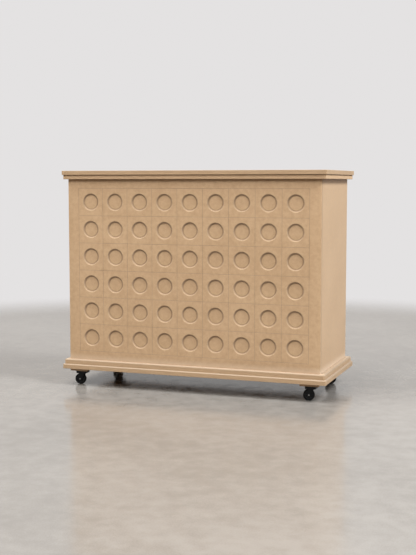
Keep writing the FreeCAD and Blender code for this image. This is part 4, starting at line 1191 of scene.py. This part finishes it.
class DISPLAY_CART_OT_make_swivels(CartOperator, bpy.types.Operator):
    """Makes the caster plates and kingpins and polishes the bearing balls"""

    bl_idname = "display_cart.make_swivels"
    bl_label = "Make Plates and Kingpins"

    def execute(self, context):
        sizes = context.scene.cart_sizes
        coat = black_coat("black_coat_plates")
        steel = context.scene.cart_colours.ball_steel
        balls = plated_steel("polished_balls", steel, smooth=0.08, rough=0.16)
        for corner in CORNERS:
            add_piece(f"{corner}_pressed_plate", plate_shape(corner, sizes), coat, "cart", "black_steel",
                      f"{corner}_plate")
            add_piece(f"{corner}_rivet", kingpin_shape(corner, sizes), coat, "cart", "black_steel",
                      f"{corner}_kingpin")
            dress(f"{corner}_balls", balls)
        return {"FINISHED"}


class DISPLAY_CART_OT_make_forks(CartOperator, bpy.types.Operator):
    """Makes the fork crowns with their dust skirts and the bent fork legs"""

    bl_idname = "display_cart.make_forks"
    bl_label = "Make Forks"

    def execute(self, context):
        sizes = context.scene.cart_sizes
        coat = black_coat("black_coat_forks")
        for corner in CORNERS:
            body = f"{corner}_swivel"
            add_piece(f"{corner}_fork_crown", crown_shape(corner, sizes), coat, body, "black_steel",
                      f"{corner}_fork")
            legs = add_piece(f"{corner}_fork_legs", legs_shape(corner, sizes), coat, body, "black_steel",
                             f"{corner}_fork")
            sheet = legs.modifiers.new("sheet", "SOLIDIFY")
            sheet.thickness = sizes.leg_thickness
            sheet.offset = 0.0
            edges = legs.modifiers.new("rolled_edges", "BEVEL")
            edges.width = ROLLED_EDGE
            edges.segments = 2
            edges.limit_method = "ANGLE"
            edges.angle_limit = ROLLED_ABOVE
        return {"FINISHED"}


class DISPLAY_CART_OT_make_wheels(CartOperator, bpy.types.Operator):
    """Makes the ribbed wheel cores and the solid tyres"""

    bl_idname = "display_cart.make_wheels"
    bl_label = "Make Wheels"

    def execute(self, context):
        sizes = context.scene.cart_sizes
        plastic = moulded_plastic("moulded_wheels")
        rubber = solid_rubber("solid_tyres")
        for corner in CORNERS:
            body = f"{corner}_wheel"
            add_piece(f"{corner}_ribbed_core", core_shape(corner, sizes), plastic, body, "wheel_plastic",
                      f"{corner}_wheel_core")
            shape, tread = tyre_shape(corner, sizes)
            add_piece(f"{corner}_solid_tyre", shape, rubber, body, "tyre_rubber", f"{corner}_tyre",
                      marks={"tread": tread})
        return {"FINISHED"}


class DISPLAY_CART_OT_make_axles(CartOperator, bpy.types.Operator):
    """Makes the axle bolts and their nuts"""

    bl_idname = "display_cart.make_axles"
    bl_label = "Make Axles"

    def execute(self, context):
        sizes = context.scene.cart_sizes
        bright = context.scene.cart_colours.bright_steel
        steel = plated_steel("bright_axles", bright, smooth=0.20, rough=0.34)
        for corner in CORNERS:
            body = f"{corner}_swivel"
            add_piece(f"{corner}_axle_bolt", axle_shape(corner, sizes), steel, body, "axle_steel",
                      f"{corner}_axle")
            add_piece(f"{corner}_hexagon_nut", nut_shape(corner, sizes), steel, body, "axle_steel",
                      f"{corner}_axle_nut")
        return {"FINISHED"}


class DISPLAY_CART_OT_set_stage(CartOperator, bpy.types.Operator):
    """Sets the pale floor, the soft light and the camera"""

    bl_idname = "display_cart.set_stage"
    bl_label = "Set Stage"

    def execute(self, context):
        studio = context.scene.cart_studio
        context.scene.view_settings.view_transform = "Standard"
        lay_floor(studio)
        make_room(studio)
        set_lights(studio)
        set_camera(studio)
        return {"FINISHED"}


STEPS = (
    DISPLAY_CART_OT_dress_boards,
    DISPLAY_CART_OT_make_front_panel,
    DISPLAY_CART_OT_dress_battens,
    DISPLAY_CART_OT_make_screws,
    DISPLAY_CART_OT_make_swivels,
    DISPLAY_CART_OT_make_forks,
    DISPLAY_CART_OT_make_wheels,
    DISPLAY_CART_OT_make_axles,
    DISPLAY_CART_OT_set_stage,
)


class DISPLAY_CART_PT_steps(bpy.types.Panel):
    """Lists the steps that dress the cart, with its sizes and colours"""

    bl_idname = "DISPLAY_CART_PT_steps"
    bl_label = "Display Cart"
    bl_space_type = "VIEW_3D"
    bl_region_type = "UI"
    bl_category = "Display Cart"

    def draw(self, context):
        for step in STEPS:
            self.layout.operator(step.bl_idname)
        for group in (context.scene.cart_sizes, context.scene.cart_colours, context.scene.cart_studio):
            box = self.layout.box()
            for name in group.__annotations__:
                box.prop(group, name)


GROUPS = {"cart_sizes": CartSizes, "cart_colours": CartColours, "cart_studio": CartStudio}


def register():
    """Registers the classes and hangs the property groups on the scene."""
    for kind in (*GROUPS.values(), *STEPS, DISPLAY_CART_PT_steps):
        bpy.utils.register_class(kind)
    for name, group in GROUPS.items():
        setattr(bpy.types.Scene, name, PointerProperty(type=group))


def unregister():
    """Takes the property groups and classes away again."""
    for name in GROUPS:
        delattr(bpy.types.Scene, name)
    for kind in (DISPLAY_CART_PT_steps, *reversed(STEPS), *GROUPS.values()):
        bpy.utils.unregister_class(kind)


def main():
    """Dresses the cart step by step."""
    register()
    bpy.ops.display_cart.dress_boards()
    bpy.ops.display_cart.make_front_panel()
    bpy.ops.display_cart.dress_battens()
    bpy.ops.display_cart.make_screws()
    bpy.ops.display_cart.make_swivels()
    bpy.ops.display_cart.make_forks()
    bpy.ops.display_cart.make_wheels()
    bpy.ops.display_cart.make_axles()
    bpy.ops.display_cart.set_stage()


if __name__ == "__main__":
    main()
